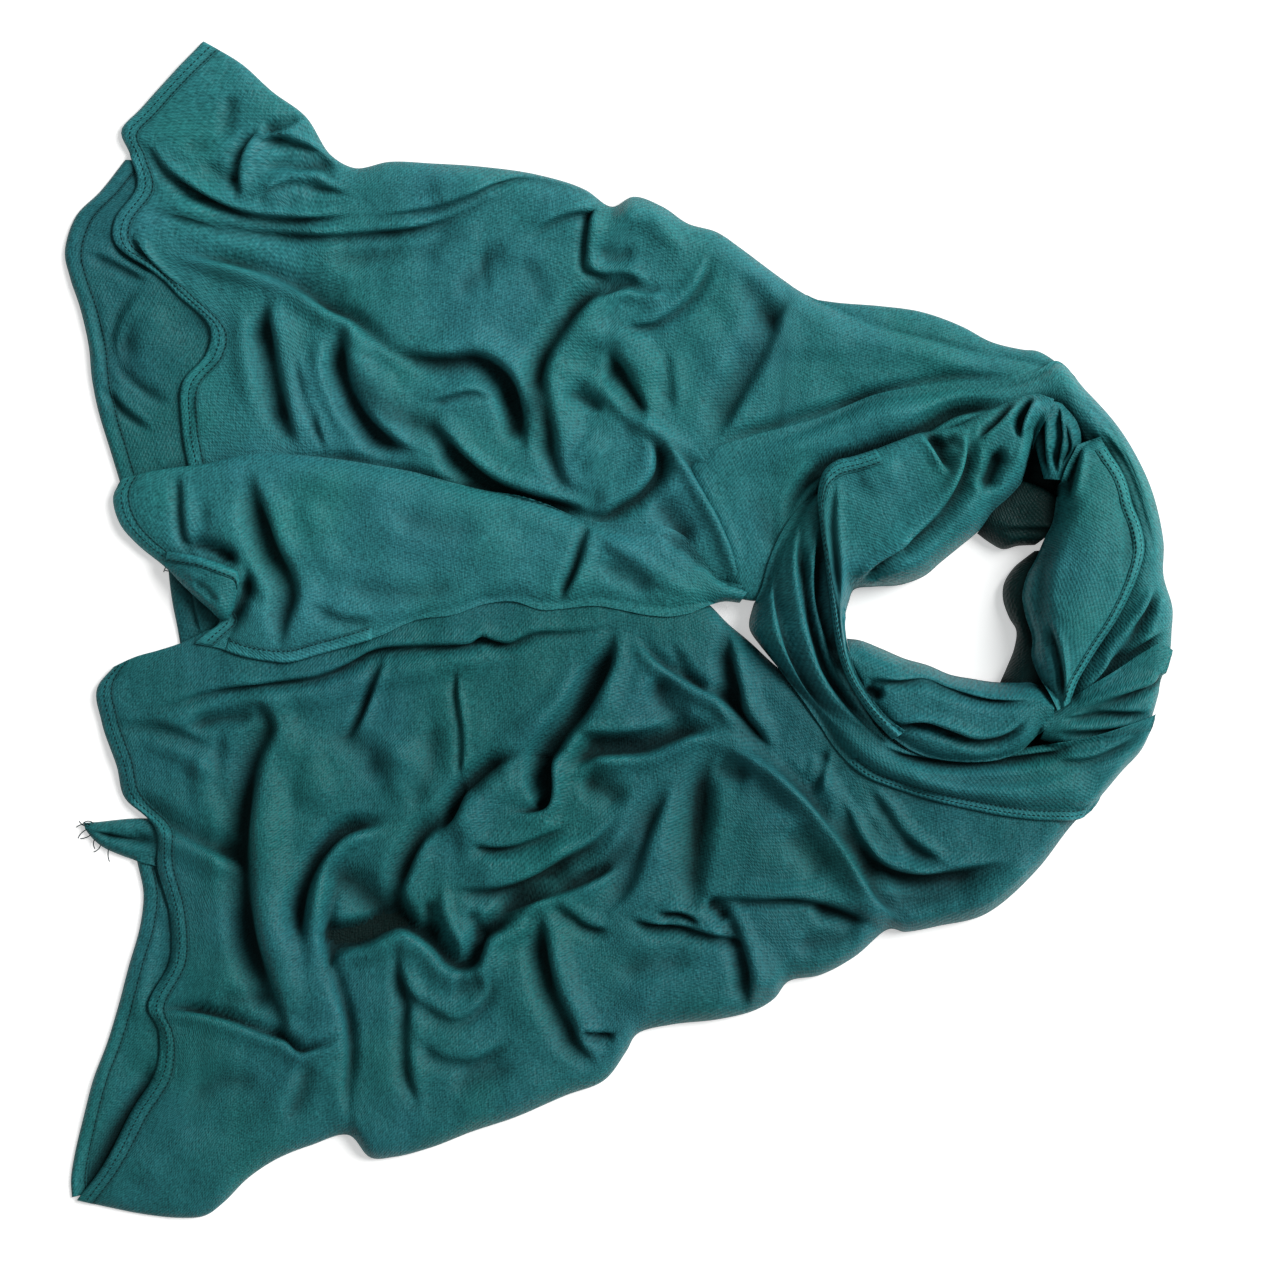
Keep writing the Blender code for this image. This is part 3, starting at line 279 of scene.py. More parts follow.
def shellMesh(name, plan, top, shape, thickness, uv, pocket, closed=True):
    # a thin closed shell: outer face, underside and rim
    rows, columns = shape
    count = rows * columns
    index = np.arange(count).reshape(rows, columns)
    a, b, c, d = (index[:-1, :-1].ravel(), index[1:, :-1].ravel(), index[1:, 1:].ravel(), index[:-1, 1:].ravel())
    faces = np.stack([a, b, c, d], 1)
    corner = plan[faces]
    turn = np.sum((corner[:, 1, 0] - corner[:, 0, 0]) * (corner[:, 2, 1] - corner[:, 0, 1])
                  - (corner[:, 1, 1] - corner[:, 0, 1]) * (corner[:, 2, 0] - corner[:, 0, 0]))
    if turn < 0:
        faces = faces[:, ::-1]
    loop = np.concatenate([index[0, :-1], index[:-1, -1], index[-1, :0:-1], index[:0:-1, 0]])
    following = np.roll(loop, -1)
    rim = np.stack([loop, following, following + count, loop + count], 1)
    area = np.sum(plan[loop, 0] * plan[following, 1] - plan[following, 0] * plan[loop, 1])
    if area > 0:
        rim = rim[:, ::-1]
    low = np.maximum(top - thickness, 0.02)
    place = np.concatenate([np.column_stack([plan, top]), np.column_stack([plan, low])])
    place[:, 0] += cloth["planShift"][0]
    place[:, 1] += cloth["planShift"][1]
    allFaces = np.concatenate([faces, faces[:, ::-1] + count, rim])
    return meshObject(name, place * cloth["mm"], allFaces, np.tile(uv, (2, 1)), np.tile(pocket, 2))


def meshObject(name, places, faces, uv=None, pocket=None):
    mesh = bpy.data.meshes.new(name)
    mesh.vertices.add(len(places))
    mesh.vertices.foreach_set("co", places.astype(np.float32).ravel())
    size = faces.shape[1]
    mesh.loops.add(faces.size)
    mesh.loops.foreach_set("vertex_index", faces.astype(np.int32).ravel())
    mesh.polygons.add(len(faces))
    mesh.polygons.foreach_set("loop_start", np.arange(0, faces.size, size, dtype=np.int32))
    mesh.update(calc_edges=True)
    mesh.polygons.foreach_set("use_smooth", np.ones(len(faces), bool))
    if uv is not None:
        layer = mesh.uv_layers.new(name="weave")
        layer.data.foreach_set("uv", (uv[faces.ravel()] * cloth["mm"]).astype(np.float32).ravel())
    # the painted shade of each point goes to the material as a point attribute
    if pocket is not None:
        shade = mesh.attributes.new("pocket", "FLOAT", "POINT")
        shade.data.foreach_set("value", pocket.astype(np.float32))
    mesh.validate()
    piece = bpy.data.objects.new(name, mesh)
    bpy.context.scene.collection.objects.link(piece)
    return piece


def hemStrip(wall, hem):
    # a turned hem: the wall's own edge, moved out, from the edge to its stitched line
    rows, columns = wall["shape"]
    index = np.arange(rows * columns).reshape(rows, columns)
    grid = {"start": index.T, "far": index, "near": index[:, ::-1]}[hem["edge"]]
    first, last = (int(round(s * (len(grid) - 1))) for s in hem.get("span", (0.0, 1.0)))
    grid = grid[first:last + 1]
    step = np.array([0.0, 0.45, 1.1, 2.4, 4.2, 6.2, 8.2, 9.6, 10.4, 10.9]) * hem.get("width", 11.0) / 10.9
    rise = np.array([0.15, 0.9, 1.4, 1.7, 1.7, 1.5, 1.2, 0.45, 0.8, 0.1])
    plan = np.zeros((len(grid), len(step), 2))
    top = np.zeros((len(grid), len(step)))
    for k, line in enumerate(grid):
        path = wall["plan"][line]
        run = lengthAlong(path)
        deep = min(len(run), 60)
        for axis in (0, 1):
            plan[k, :, axis] = np.interp(step, run[:deep], path[:deep, axis])
        top[k] = np.interp(step, run[:deep], wall["top"][line][:deep])
    edgeRun = lengthAlong(plan[:, 0])
    pucker = 0.22 * np.sin(edgeRun / 1.25 + 1.5 * np.sin(edgeRun / 9))[:, None] * softBump((step - 8.6) / 3)[None]
    pucker += 0.2 * np.sin(edgeRun / 4.1)[:, None] * softBump((step - 5) / 6)[None]
    fade = np.ones(len(grid))
    if "span" in hem:
        fade = rolledRise(np.minimum(edgeRun, edgeRun[-1] - edgeRun) / 14)
    top = top + 0.3 + (0.75 * hem.get("raise", 1.0) * rise[None] + pucker) * fade[:, None]
    outward = plan[:, 0] - plan[:, 2]
    outward = outward / np.maximum(np.linalg.norm(outward, axis=1), 1e-6)[:, None]
    plan[:, 0] += outward * 0.35
    uv = np.stack([np.repeat(edgeRun[:, None], len(step), 1), np.repeat(step[None], len(grid), 0)], 2)
    shape = top.shape
    hemPaintedShade = np.zeros(shape)
    # painted shade at the hem's edge, its stitched line and under its fold; less than nothing, a painted highlight,
    # on its rise
    hemPaintedShade[:] = np.array([0.3, 0.0, -0.12, -0.14, -0.05, 0.04, 0.24, 0.62, 0.42, 0.8])[None]
    heap.lay(plan.reshape(-1, 2), top.ravel(), quadTriangles(*shape))
    return {"plan": plan.reshape(-1, 2), "top": top.ravel(), "shape": shape, "uv": uv.reshape(-1, 2),
            "pocket": hemPaintedShade.ravel(), "run": edgeRun, "grid": plan, "level": top, "step": step}


def quadTriangles(rows, columns):
    index = np.arange(rows * columns).reshape(rows, columns)
    a, b, c, d = (index[:-1, :-1].ravel(), index[1:, :-1].ravel(), index[1:, 1:].ravel(), index[:-1, 1:].ravel())
    return np.concatenate([np.stack([a, b, c], 1), np.stack([a, c, d], 1)])


stitch = {"length": 1.9, "pitch": 2.9, "radius": 0.36, "sides": 5}


def stitchRow(strip, distance):
    # one row of stitches along a hem, this far from its edge
    places = np.array([[np.interp(distance, strip["step"], strip["grid"][k, :, axis]) for axis in (0, 1)]
                       + [np.interp(distance, strip["step"], strip["level"][k])] for k in range(len(strip["grid"]))])
    run = lengthAlong(places[:, :2])
    starts = np.arange(1.5, run[-1] - stitch["pitch"], stitch["pitch"])
    ring = np.arange(stitch["sides"]) * 2 * math.pi / stitch["sides"]
    vertices, faces = [], []
    for number, start in enumerate(starts):
        ends = [np.array([np.interp(start + s, run, places[:, axis]) for axis in range(3)])
                for s in (0, stitch["length"])]
        direction = (ends[1] - ends[0]) / max(np.linalg.norm(ends[1] - ends[0]), 1e-6)
        side = np.array([-direction[1], direction[0], 0.0])
        side = side / max(np.linalg.norm(side), 1e-6)
        up = np.cross(direction, side)
        base = len(vertices)
        for share, size in ((0.0, 0.35), (0.3, 1.0), (0.7, 1.0), (1.0, 0.35)):
            middle = ends[0] * (1 - share) + ends[1] * share
            for angle in ring:
                spoke = side * math.cos(angle) + up * math.sin(angle) * 0.8
                vertices.append(middle + stitch["radius"] * size * spoke + np.array([0, 0, 0.08]))
        n = stitch["sides"]
        for r in range(3):
            for k in range(n):
                faces.append((base + r * n + k, base + r * n + (k + 1) % n,
                              base + (r + 1) * n + (k + 1) % n, base + (r + 1) * n + k))
    return vertices, faces


def looseThread(x, y, z, turn, length, bend):
    # one thin thread that curls away from a cut end
    count, sides, thick = 9, 4, 0.32
    vertices, faces = [], []
    spot, way = np.array([x, y, z], float), math.radians(turn)
    for k in range(count):
        along = np.array([math.cos(way), math.sin(way), 0.0])
        side = np.array([-along[1], along[0], 0.0])
        for n in range(sides):
            angle = 2 * math.pi * n / sides
            vertices.append(spot + thick * (side * math.cos(angle) + np.array([0, 0, math.sin(angle)])))
        spot = spot + along * length / (count - 1)
        spot[2] = max(0.5, spot[2] - 0.12)
        way += math.radians(bend) / (count - 1)
    for k in range(count - 1):
        for n in range(sides):
            m = (n + 1) % sides
            faces.append((k * sides + n, k * sides + m, (k + 1) * sides + m, (k + 1) * sides + n))
    return vertices, faces


# x, y, z, heading in degrees, length and bend of each frayed thread
frayed = [
    (-318, -117.5, 4.5, 165, 9, 60), (-319, -118.5, 4.2, 182, 7, -70), (-319, -120, 4.0, 200, 9, 50),
    (-317, -123, 3.6, 222, 8, -45), (-315, -125.5, 3.4, 236, 7, 70), (-312, -130, 3.2, 250, 6, -60),
    (-316, -116.8, 4.6, 140, 7, 90), (-307, -132, 3.2, 255, 8, 40),
    (-270, 42, 2.6, 172, 6, -60), (-270, 39, 2.6, 205, 7, 60), (-268, 36, 2.4, 225, 6, -80),
    (-266, 32, 2.4, 215, 8, 50), (-262, 26, 2.2, 205, 7, -50),
]
# The stretches, from the lowest to the topmost. A row of sections is far x, far y, near x, near y and
# height; a row of an outline is share of the way across, x and y; a row of folds is name, rise, drop,
# width on its left and on its right as it runs, and the places that it runs through. A fold with both a
# rise and a drop is a lip: its crest is on the left and leans over a slot on the right.
# A stretch's tone picks a lighter or darker copy of the one teal: painted light and painted shade.
upperBackEnd = {
    "node": "upper_back_end", "restsOn": "tails_hidden_layers", "slot": "cloth_lower", "tone": "low", "farRoll": 6, "bridges": False,
    "sections": [
        (-297, 281, -268, 279, 3), (-312, 262, -268, 258, 4), (-326, 248, -272, 240, 4),
        (-333, 228, -262, 222, 4), (-330, 210, -240, 204, 5), (-324, 192, -226, 188, 5),
        (-319, 170, -218, 170, 5), (-317, 150, -226, 150, 5), (-313, 130, -234, 128, 4),
        (-306, 107, -234, 106, 4), (-299, 84, -240, 84, 4),
    ],
    "folds": [
        ("long trough", 1, 3.5, 8, 8, (-320, 226), (-304, 219), (-283, 208)),
        ("lobe edge", 2.5, 3, 10, 7, (-284, 208), (-302, 181), (-303, 172), (-300, 160), (-294, 150),
         (-280, 139)),
        ("upper shade", 0, 5, 9, 9, (-304, 236), (-290, 222), (-276, 214)),
        ("lobe side", 0, 5, 8, 8, (-292, 186), (-296, 166), (-288, 146), (-270, 132)),
        ("lobe", 3.5, 0, 17, 17, (-276, 196), (-286, 176), (-278, 152)),
        ("lower crease", 1.5, 3, 8, 7, (-314, 150), (-298, 132), (-280, 118)),
        ("rim groove", 0, 2.5, 5, 5, (-318, 216), (-314, 186), (-306, 150), (-298, 118)),
    ],
    "hems": [{"node": "upper_back_end_hem", "edge": "far", "rows": (10.0,)}],
}
lowerBackEnd = {
    "node": "lower_back_end", "restsOn": "tails_hidden_layers", "slot": "cloth_lower", "tone": "low", "farRoll": 6, "bridges": False,
    "sections": [
        (-290, -139, -262, -139, 3), (-286, -160, -250, -160, 3), (-288, -178, -250, -178, 4),
        (-295, -203, -250, -200, 4), (-301, -226, -258, -224, 4), (-308, -249, -256, -246, 4),
        (-316, -270, -260, -268, 4), (-322, -293, -272, -288, 4), (-327, -314, -284, -309, 3),
        (-329.5, -330, -298, -326, 3), (-329, -341, -316, -338, 2.5),
    ],
    "folds": [
        ("side ridge", 2.5, 0, 7, 7, (-279, -172), (-285, -205), (-292, -238)),
        ("wedge", 0, 16, 13, 13, (-276, -262), (-290, -284), (-303, -303), (-316, -326), (-330, -350)),
        ("side groove", 0, 3, 6, 6, (-280, -250), (-292, -286), (-310, -322)),
    ],
    "hems": [{"node": "lower_back_end_hem", "edge": "far", "rows": (8.2,), "width": 9.5}],
}
middleBackEnd = {
    "node": "middle_back_end", "restsOn": "tails_hidden_layers", "slot": "cloth_lower", "tone": "low", "farRoll": 6, "bridges": False,
    "sections": [
        (-272, 45, -225, 45, 5), (-271, 30, -225, 30, 5), (-269, 15, -225, 12, 5), (-266, 0, -225, -5, 4),
        (-263, -18, -225, -20, 3),
    ],
    "folds": [
        ("edge crease", 1.5, 2, 4, 4, (-262, 36), (-256, 16), (-252, -6)),
    ],
}
cornerTab = {
    "node": "corner_tab", "restsOn": "lower_back_end", "slot": "cloth_lower", "tone": "low", "cell": 1.2, "farRoll": 8, "nearRoll": 8,
    "bridges": False,
    "sections": [
        (-322, -116.5, -321, -121, 4), (-314, -116, -317, -126, 6), (-305, -115, -311, -131, 7),
        (-294, -114, -300, -136, 7), (-282, -114, -288, -140, 6), (-268, -116, -272, -144, 4),
    ],
    "folds": [
        ("tab hollow", 0, 6, 6, 6, (-316, -121), (-304, -124), (-290, -126), (-278, -128)),
        ("tab rib", 2, 2, 4, 4, (-318, -121), (-304, -124), (-284, -128)),
        ("tab rib above", 1.5, 0, 4, 4, (-310, -118), (-292, -119)),
    ],
}
outerBackStrip = {
    "node": "outer_back_strip", "restsOn": "ring_hidden_layers", "slot": "cloth_upper", "tone": "lit", "nearZ": 6,
    "sections": [
        (112, 198, 110, 176, 8), (130, 195.5, 126, 170, 10), (155, 193.5, 148, 164, 11),
        (180, 190, 172, 158, 12), (205, 181, 196, 152, 13), (222, 172, 214, 150, 13),
        (240, 167.5, 232, 148, 13), (251, 166, 248, 146, 13), (260, 160.5, 258, 144, 12),
        (270, 150, 264, 136, 12),
    ],
    "folds": [],
}
upperTail = {
    "node": "upper_tail", "restsOn": "tails_hidden_layers", "slot": "cloth_upper", "tone": "lit", "nearZ": 6, "nearRoll": 40, "startZ": 3,
    "sections": [
        (-250, 352, -258, 92, 7), (-228, 339, -243, 90, 8), (-209, 322, -226, 88, 10),
        (-189, 307, -209, 87, 11), (-174, 284, -193, 86, 12), (-161, 276.5, -178, 84, 13),
        (-139, 280, -154, 80, 14), (-113, 279, -125, 76, 15), (-83, 277, -97, 72, 16),
        (-49, 272, -68, 66, 17), (-21, 263, -42, 58, 18), (-5, 253, -27, 50, 18), (7, 259, -14, 44, 19),
        (25, 253, 2, 38, 19), (40, 243, 18, 34, 19), (57, 238, 34, 29, 19), (72, 228, 52, 23, 19),
        (84, 219, 69, 19, 19), (92, 213, 80, 20, 20), (99, 208, 88, 42, 20), (107, 202.5, 92, 78, 20),
        (116, 197.5, 101, 97, 20), (128, 193, 114, 109, 20), (147, 186, 136, 121, 20),
        (180, 177, 170, 129, 21), (215, 168, 206, 134, 21), (240, 163, 236, 136, 21),
        (257, 159, 252, 140, 20),
    ],
    "startOutline": [
        (0.00, -250, 352), (0.07, -270, 331), (0.14, -288, 311), (0.19, -299, 299), (0.25, -294, 284),
        (0.32, -290, 264), (0.38, -303, 245), (0.43, -303, 231), (0.49, -285, 216), (0.56, -266, 200),
        (0.64, -246, 180), (0.70, -248, 165), (0.78, -262, 148), (0.88, -263, 122), (1.00, -258, 92),
    ],
    "folds": [
        ("end lip", 6, 8, 9, 10, (-291, 290), (-284, 289), (-274, 277), (-257, 264), (-239, 254), (-222, 248),
         (-200, 245.5), (-174, 246), (-158, 248)),
        ("long ridge", 4.5, 0, 6, 7, (-291, 256), (-274, 254), (-248, 249), (-222, 243), (-200, 240.5),
         (-174, 240), (-158, 243)),
        ("ridge foot", 2, 5.5, 6, 9, (-291, 251), (-274, 250), (-248, 244), (-222, 239), (-200, 236.5),
         (-174, 235), (-150, 237), (-126, 239), (-109, 243), (-83, 254), (-63, 262)),
        ("roll top", 4.5, 5, 8, 7, (-156, 246), (-140, 247), (-126, 249), (-109, 252), (-91, 258), (-74, 266),
         (-57, 270), (-39, 267), (-17, 259), (-8, 252)),
        ("roll", 3.5, 0, 7, 7, (-152, 243), (-126, 244), (-109, 247), (-83, 259), (-60, 265)),
        ("tail swell", 3, 0, 16, 16, (-118, 262), (-96, 268), (-76, 274)),
        ("middle dip", 0, 3.5, 14, 14, (-180, 222), (-150, 222), (-120, 226)),
        ("slope dip", 0, 3.5, 13, 13, (-100, 196), (-84, 214), (-70, 232)),
        ("slope light", 3, 0, 13, 13, (-112, 214), (-98, 230), (-88, 246)),
        ("wide slope", 0, 2.5, 13, 13, (-128, 216), (-106, 232), (-84, 240)),
        ("sweep crease", 4.5, 6, 14, 11, (-118, 155), (-126, 159), (-135, 163), (-148, 173), (-161, 184),
         (-174, 190), (-191, 201), (-213, 212), (-230, 217), (-252, 222), (-276, 228)),
        ("sweep shade", 0, 2.5, 12, 10, (-200, 216), (-180, 205), (-160, 196)),
        ("hooked lip", 7.5, 10, 20, 18, (-136, 168), (-120, 163), (-104, 162), (-86, 163), (-75, 158),
         (-65, 148), (-60, 135), (-57, 118), (-58, 100)),
        ("hook inside", 0, 5, 14, 12, (-70, 148), (-66, 130), (-66, 108)),
        ("inner crease", 2, 3.5, 8, 7, (-118, 134), (-104, 138), (-91, 141), (-74, 138)),
        ("straight valley", 5, 8, 20, 18, (-212, 200), (-211, 190), (-208, 170), (-204, 148), (-198, 124),
         (-194, 108)),
        ("straight ridge", 3, 0, 9, 9, (-229, 196), (-226, 165), (-222, 130)),
        ("thin line", 2, 3, 7, 6, (-193, 166), (-190, 150), (-183, 126), (-175, 103)),
        ("lens valley", 6, 11, 20, 18, (-168, 182), (-166, 172), (-162, 148), (-152, 128), (-138, 114),
         (-122, 104)),
        ("lens ridge", 5, 0, 12, 12, (-156, 166), (-146, 148), (-130, 130), (-108, 120), (-88, 110)),
        ("deep valley", 4, 11, 12, 18, (-116, 126), (-106, 116), (-94, 103), (-78, 90), (-52, 79), (-30, 74),
         (-16, 67)),
        ("short crease", 0, 4.5, 8, 8, (-233, 322), (-235, 306), (-237, 292)),
        ("end hollow", 0, 3, 9, 9, (-214, 305), (-206, 296), (-200, 288)),
        ("dimple", 0, 2.5, 9, 9, (-262, 290), (-246, 288)),
        ("slanting crease", 2.5, 4, 8, 8, (-188, 305), (-200, 301), (-216, 296)),
        ("dark line", 4, 6.5, 9, 8, (-216, 300), (-226, 286), (-229, 271), (-227, 256)),
        ("oval bump", 4.5, 0, 10, 10, (-216, 257), (-200, 263), (-182, 260)),
        ("bump slot", 2.5, 5.5, 8, 8, (-170, 268), (-180, 274), (-192, 275), (-205, 276), (-216, 270)),
        ("end crease", 0, 4, 8, 7, (-252, 279), (-229, 266)),
        ("knot line", 3.5, 4.5, 7, 7, (-220, 254), (-212, 262), (-203, 266), (-183, 265), (-160, 259)),
        ("upper roll", 4.5, 5, 9, 9, (-222, 294), (-210, 293), (-196, 291), (-178, 284), (-164, 272)),
        ("corner curl", 4, 4.5, 6, 6, (-294, 238), (-288, 228), (-281, 219), (-272, 210), (-262, 200)),
        ("notch crease", 3, 4, 9, 8, (-58, 232), (-46, 241), (-37, 245), (-21, 249), (-5, 250)),
        ("knob edge", 4, 4.5, 13, 7, (-11, 257), (-18, 246), (-20, 235), (-21, 224), (-21, 216), (-15, 211),
         (-4, 208)),
        ("knob top", 4, 0, 10, 10, (-4, 245), (12, 250), (32, 240)),
        ("knob arc", 3, 3.5, 8, 8, (-20, 216), (-10, 212), (4, 211), (16, 205)),
        ("knob second arc", 3.5, 3, 9, 8, (30, 202), (14, 200), (2, 202), (-14, 194)),
        ("knob brow", 3, 0, 9, 9, (-16, 234), (6, 244), (28, 234), (40, 222)),
        ("knob hollow", 0, 4, 10, 8, (-16, 228), (-2, 222), (10, 226)),
        ("upright line", 0, 2, 6, 6, (-81, 230), (-82, 216), (-80, 196)),
        ("left shade", 0, 3, 12, 12, (-60, 222), (-50, 206), (-46, 190)),
        ("crossing step", 7, 8, 22, 15, (14, 207), (0, 203), (-17, 197), (-26, 188), (-33, 178), (-40, 168),
         (-46, 152), (-45, 139), (-41, 117), (-38, 100), (-32, 87), (-18, 81)),
        ("lobe ridge", 6, 0, 11, 11, (-30, 168), (-13, 174), (4, 170), (16, 158), (22, 140)),
        ("lobe ridge below", 5, 0, 9, 9, (-41, 158), (-22, 150), (0, 134), (22, 116), (40, 100)),
        ("lens slot", 4.5, 9, 15, 16, (-8, 166), (0, 157), (6, 147), (12, 136), (16, 122)),
        ("inner slot", 0, 5, 8, 8, (-34, 142), (-22, 137), (-10, 129)),
        ("crescent", 4, 5, 12, 9, (-2, 179), (4, 180), (19, 182), (31, 189), (42, 199), (49, 210), (53, 224)),
        ("slanting valley", 2, 6, 22, 24, (106, 200), (96, 190), (90, 172), (74, 142), (60, 118), (50, 106)),
        ("side line", 1.5, 2, 10, 8, (28, 168), (30, 150), (32, 128)),
        ("oval slot", 5, 10, 20, 12, (-24, 70), (-12, 68), (0, 74), (12, 82), (21, 95), (20, 108), (10, 118)),
        ("oval bump", 4, 0, 16, 16, (-26, 110), (-10, 100)),
        ("end lip over the band", 5, 9, 11, 10, (90, -12), (82, 6), (75, 24), (67, 46), (58, 67), (48, 85), (38, 100),
         (24, 114)),
        ("end ridge", 3, 0, 12, 12, (44, 88), (34, 104), (20, 116), (2, 128)),
        ("end hollow right", 0, 7, 15, 15, (18, 80), (30, 66), (44, 48)),
        ("slope shade", 0, 6, 18, 14, (-160, 160), (-146, 138), (-120, 122), (-96, 112)),
        ("valley light", 4, 0, 9, 9, (-182, 178), (-178, 150), (-166, 126), (-148, 110)),
        ("hook light", 3.5, 0, 8, 8, (-50, 150), (-48, 124), (-46, 104)),
        ("hem reveal", 0, 5, 5, 7, (-262, 166), (-259, 140), (-259, 108)),
        ("line above flap", 0, 5, 7, 8, (-200, 104), (-160, 101), (-120, 92), (-80, 79), (-50, 72)),
        ("far dip", 0, 4, 14, 14, (70, 214), (84, 192), (96, 176)),
        ("far light", 3, 0, 14, 14, (40, 196), (54, 170), (66, 146)),
        ("broad ridge", 3, 0, 14, 18, (228, 160), (150, 168), (95, 172), (45, 172)),
        ("band foot", 0, 5, 8, 7, (40, 98), (60, 110), (90, 121), (121, 130), (160, 143), (196, 150),
         (230, 151), (244, 156)),
        ("strip line", 0, 2, 5, 5, (150, 182), (185, 174), (235, 165)),
    ],
    "hems": [{"node": "upper_tail_hem", "edge": "start", "rows": (5.2, 9.4)}],
}
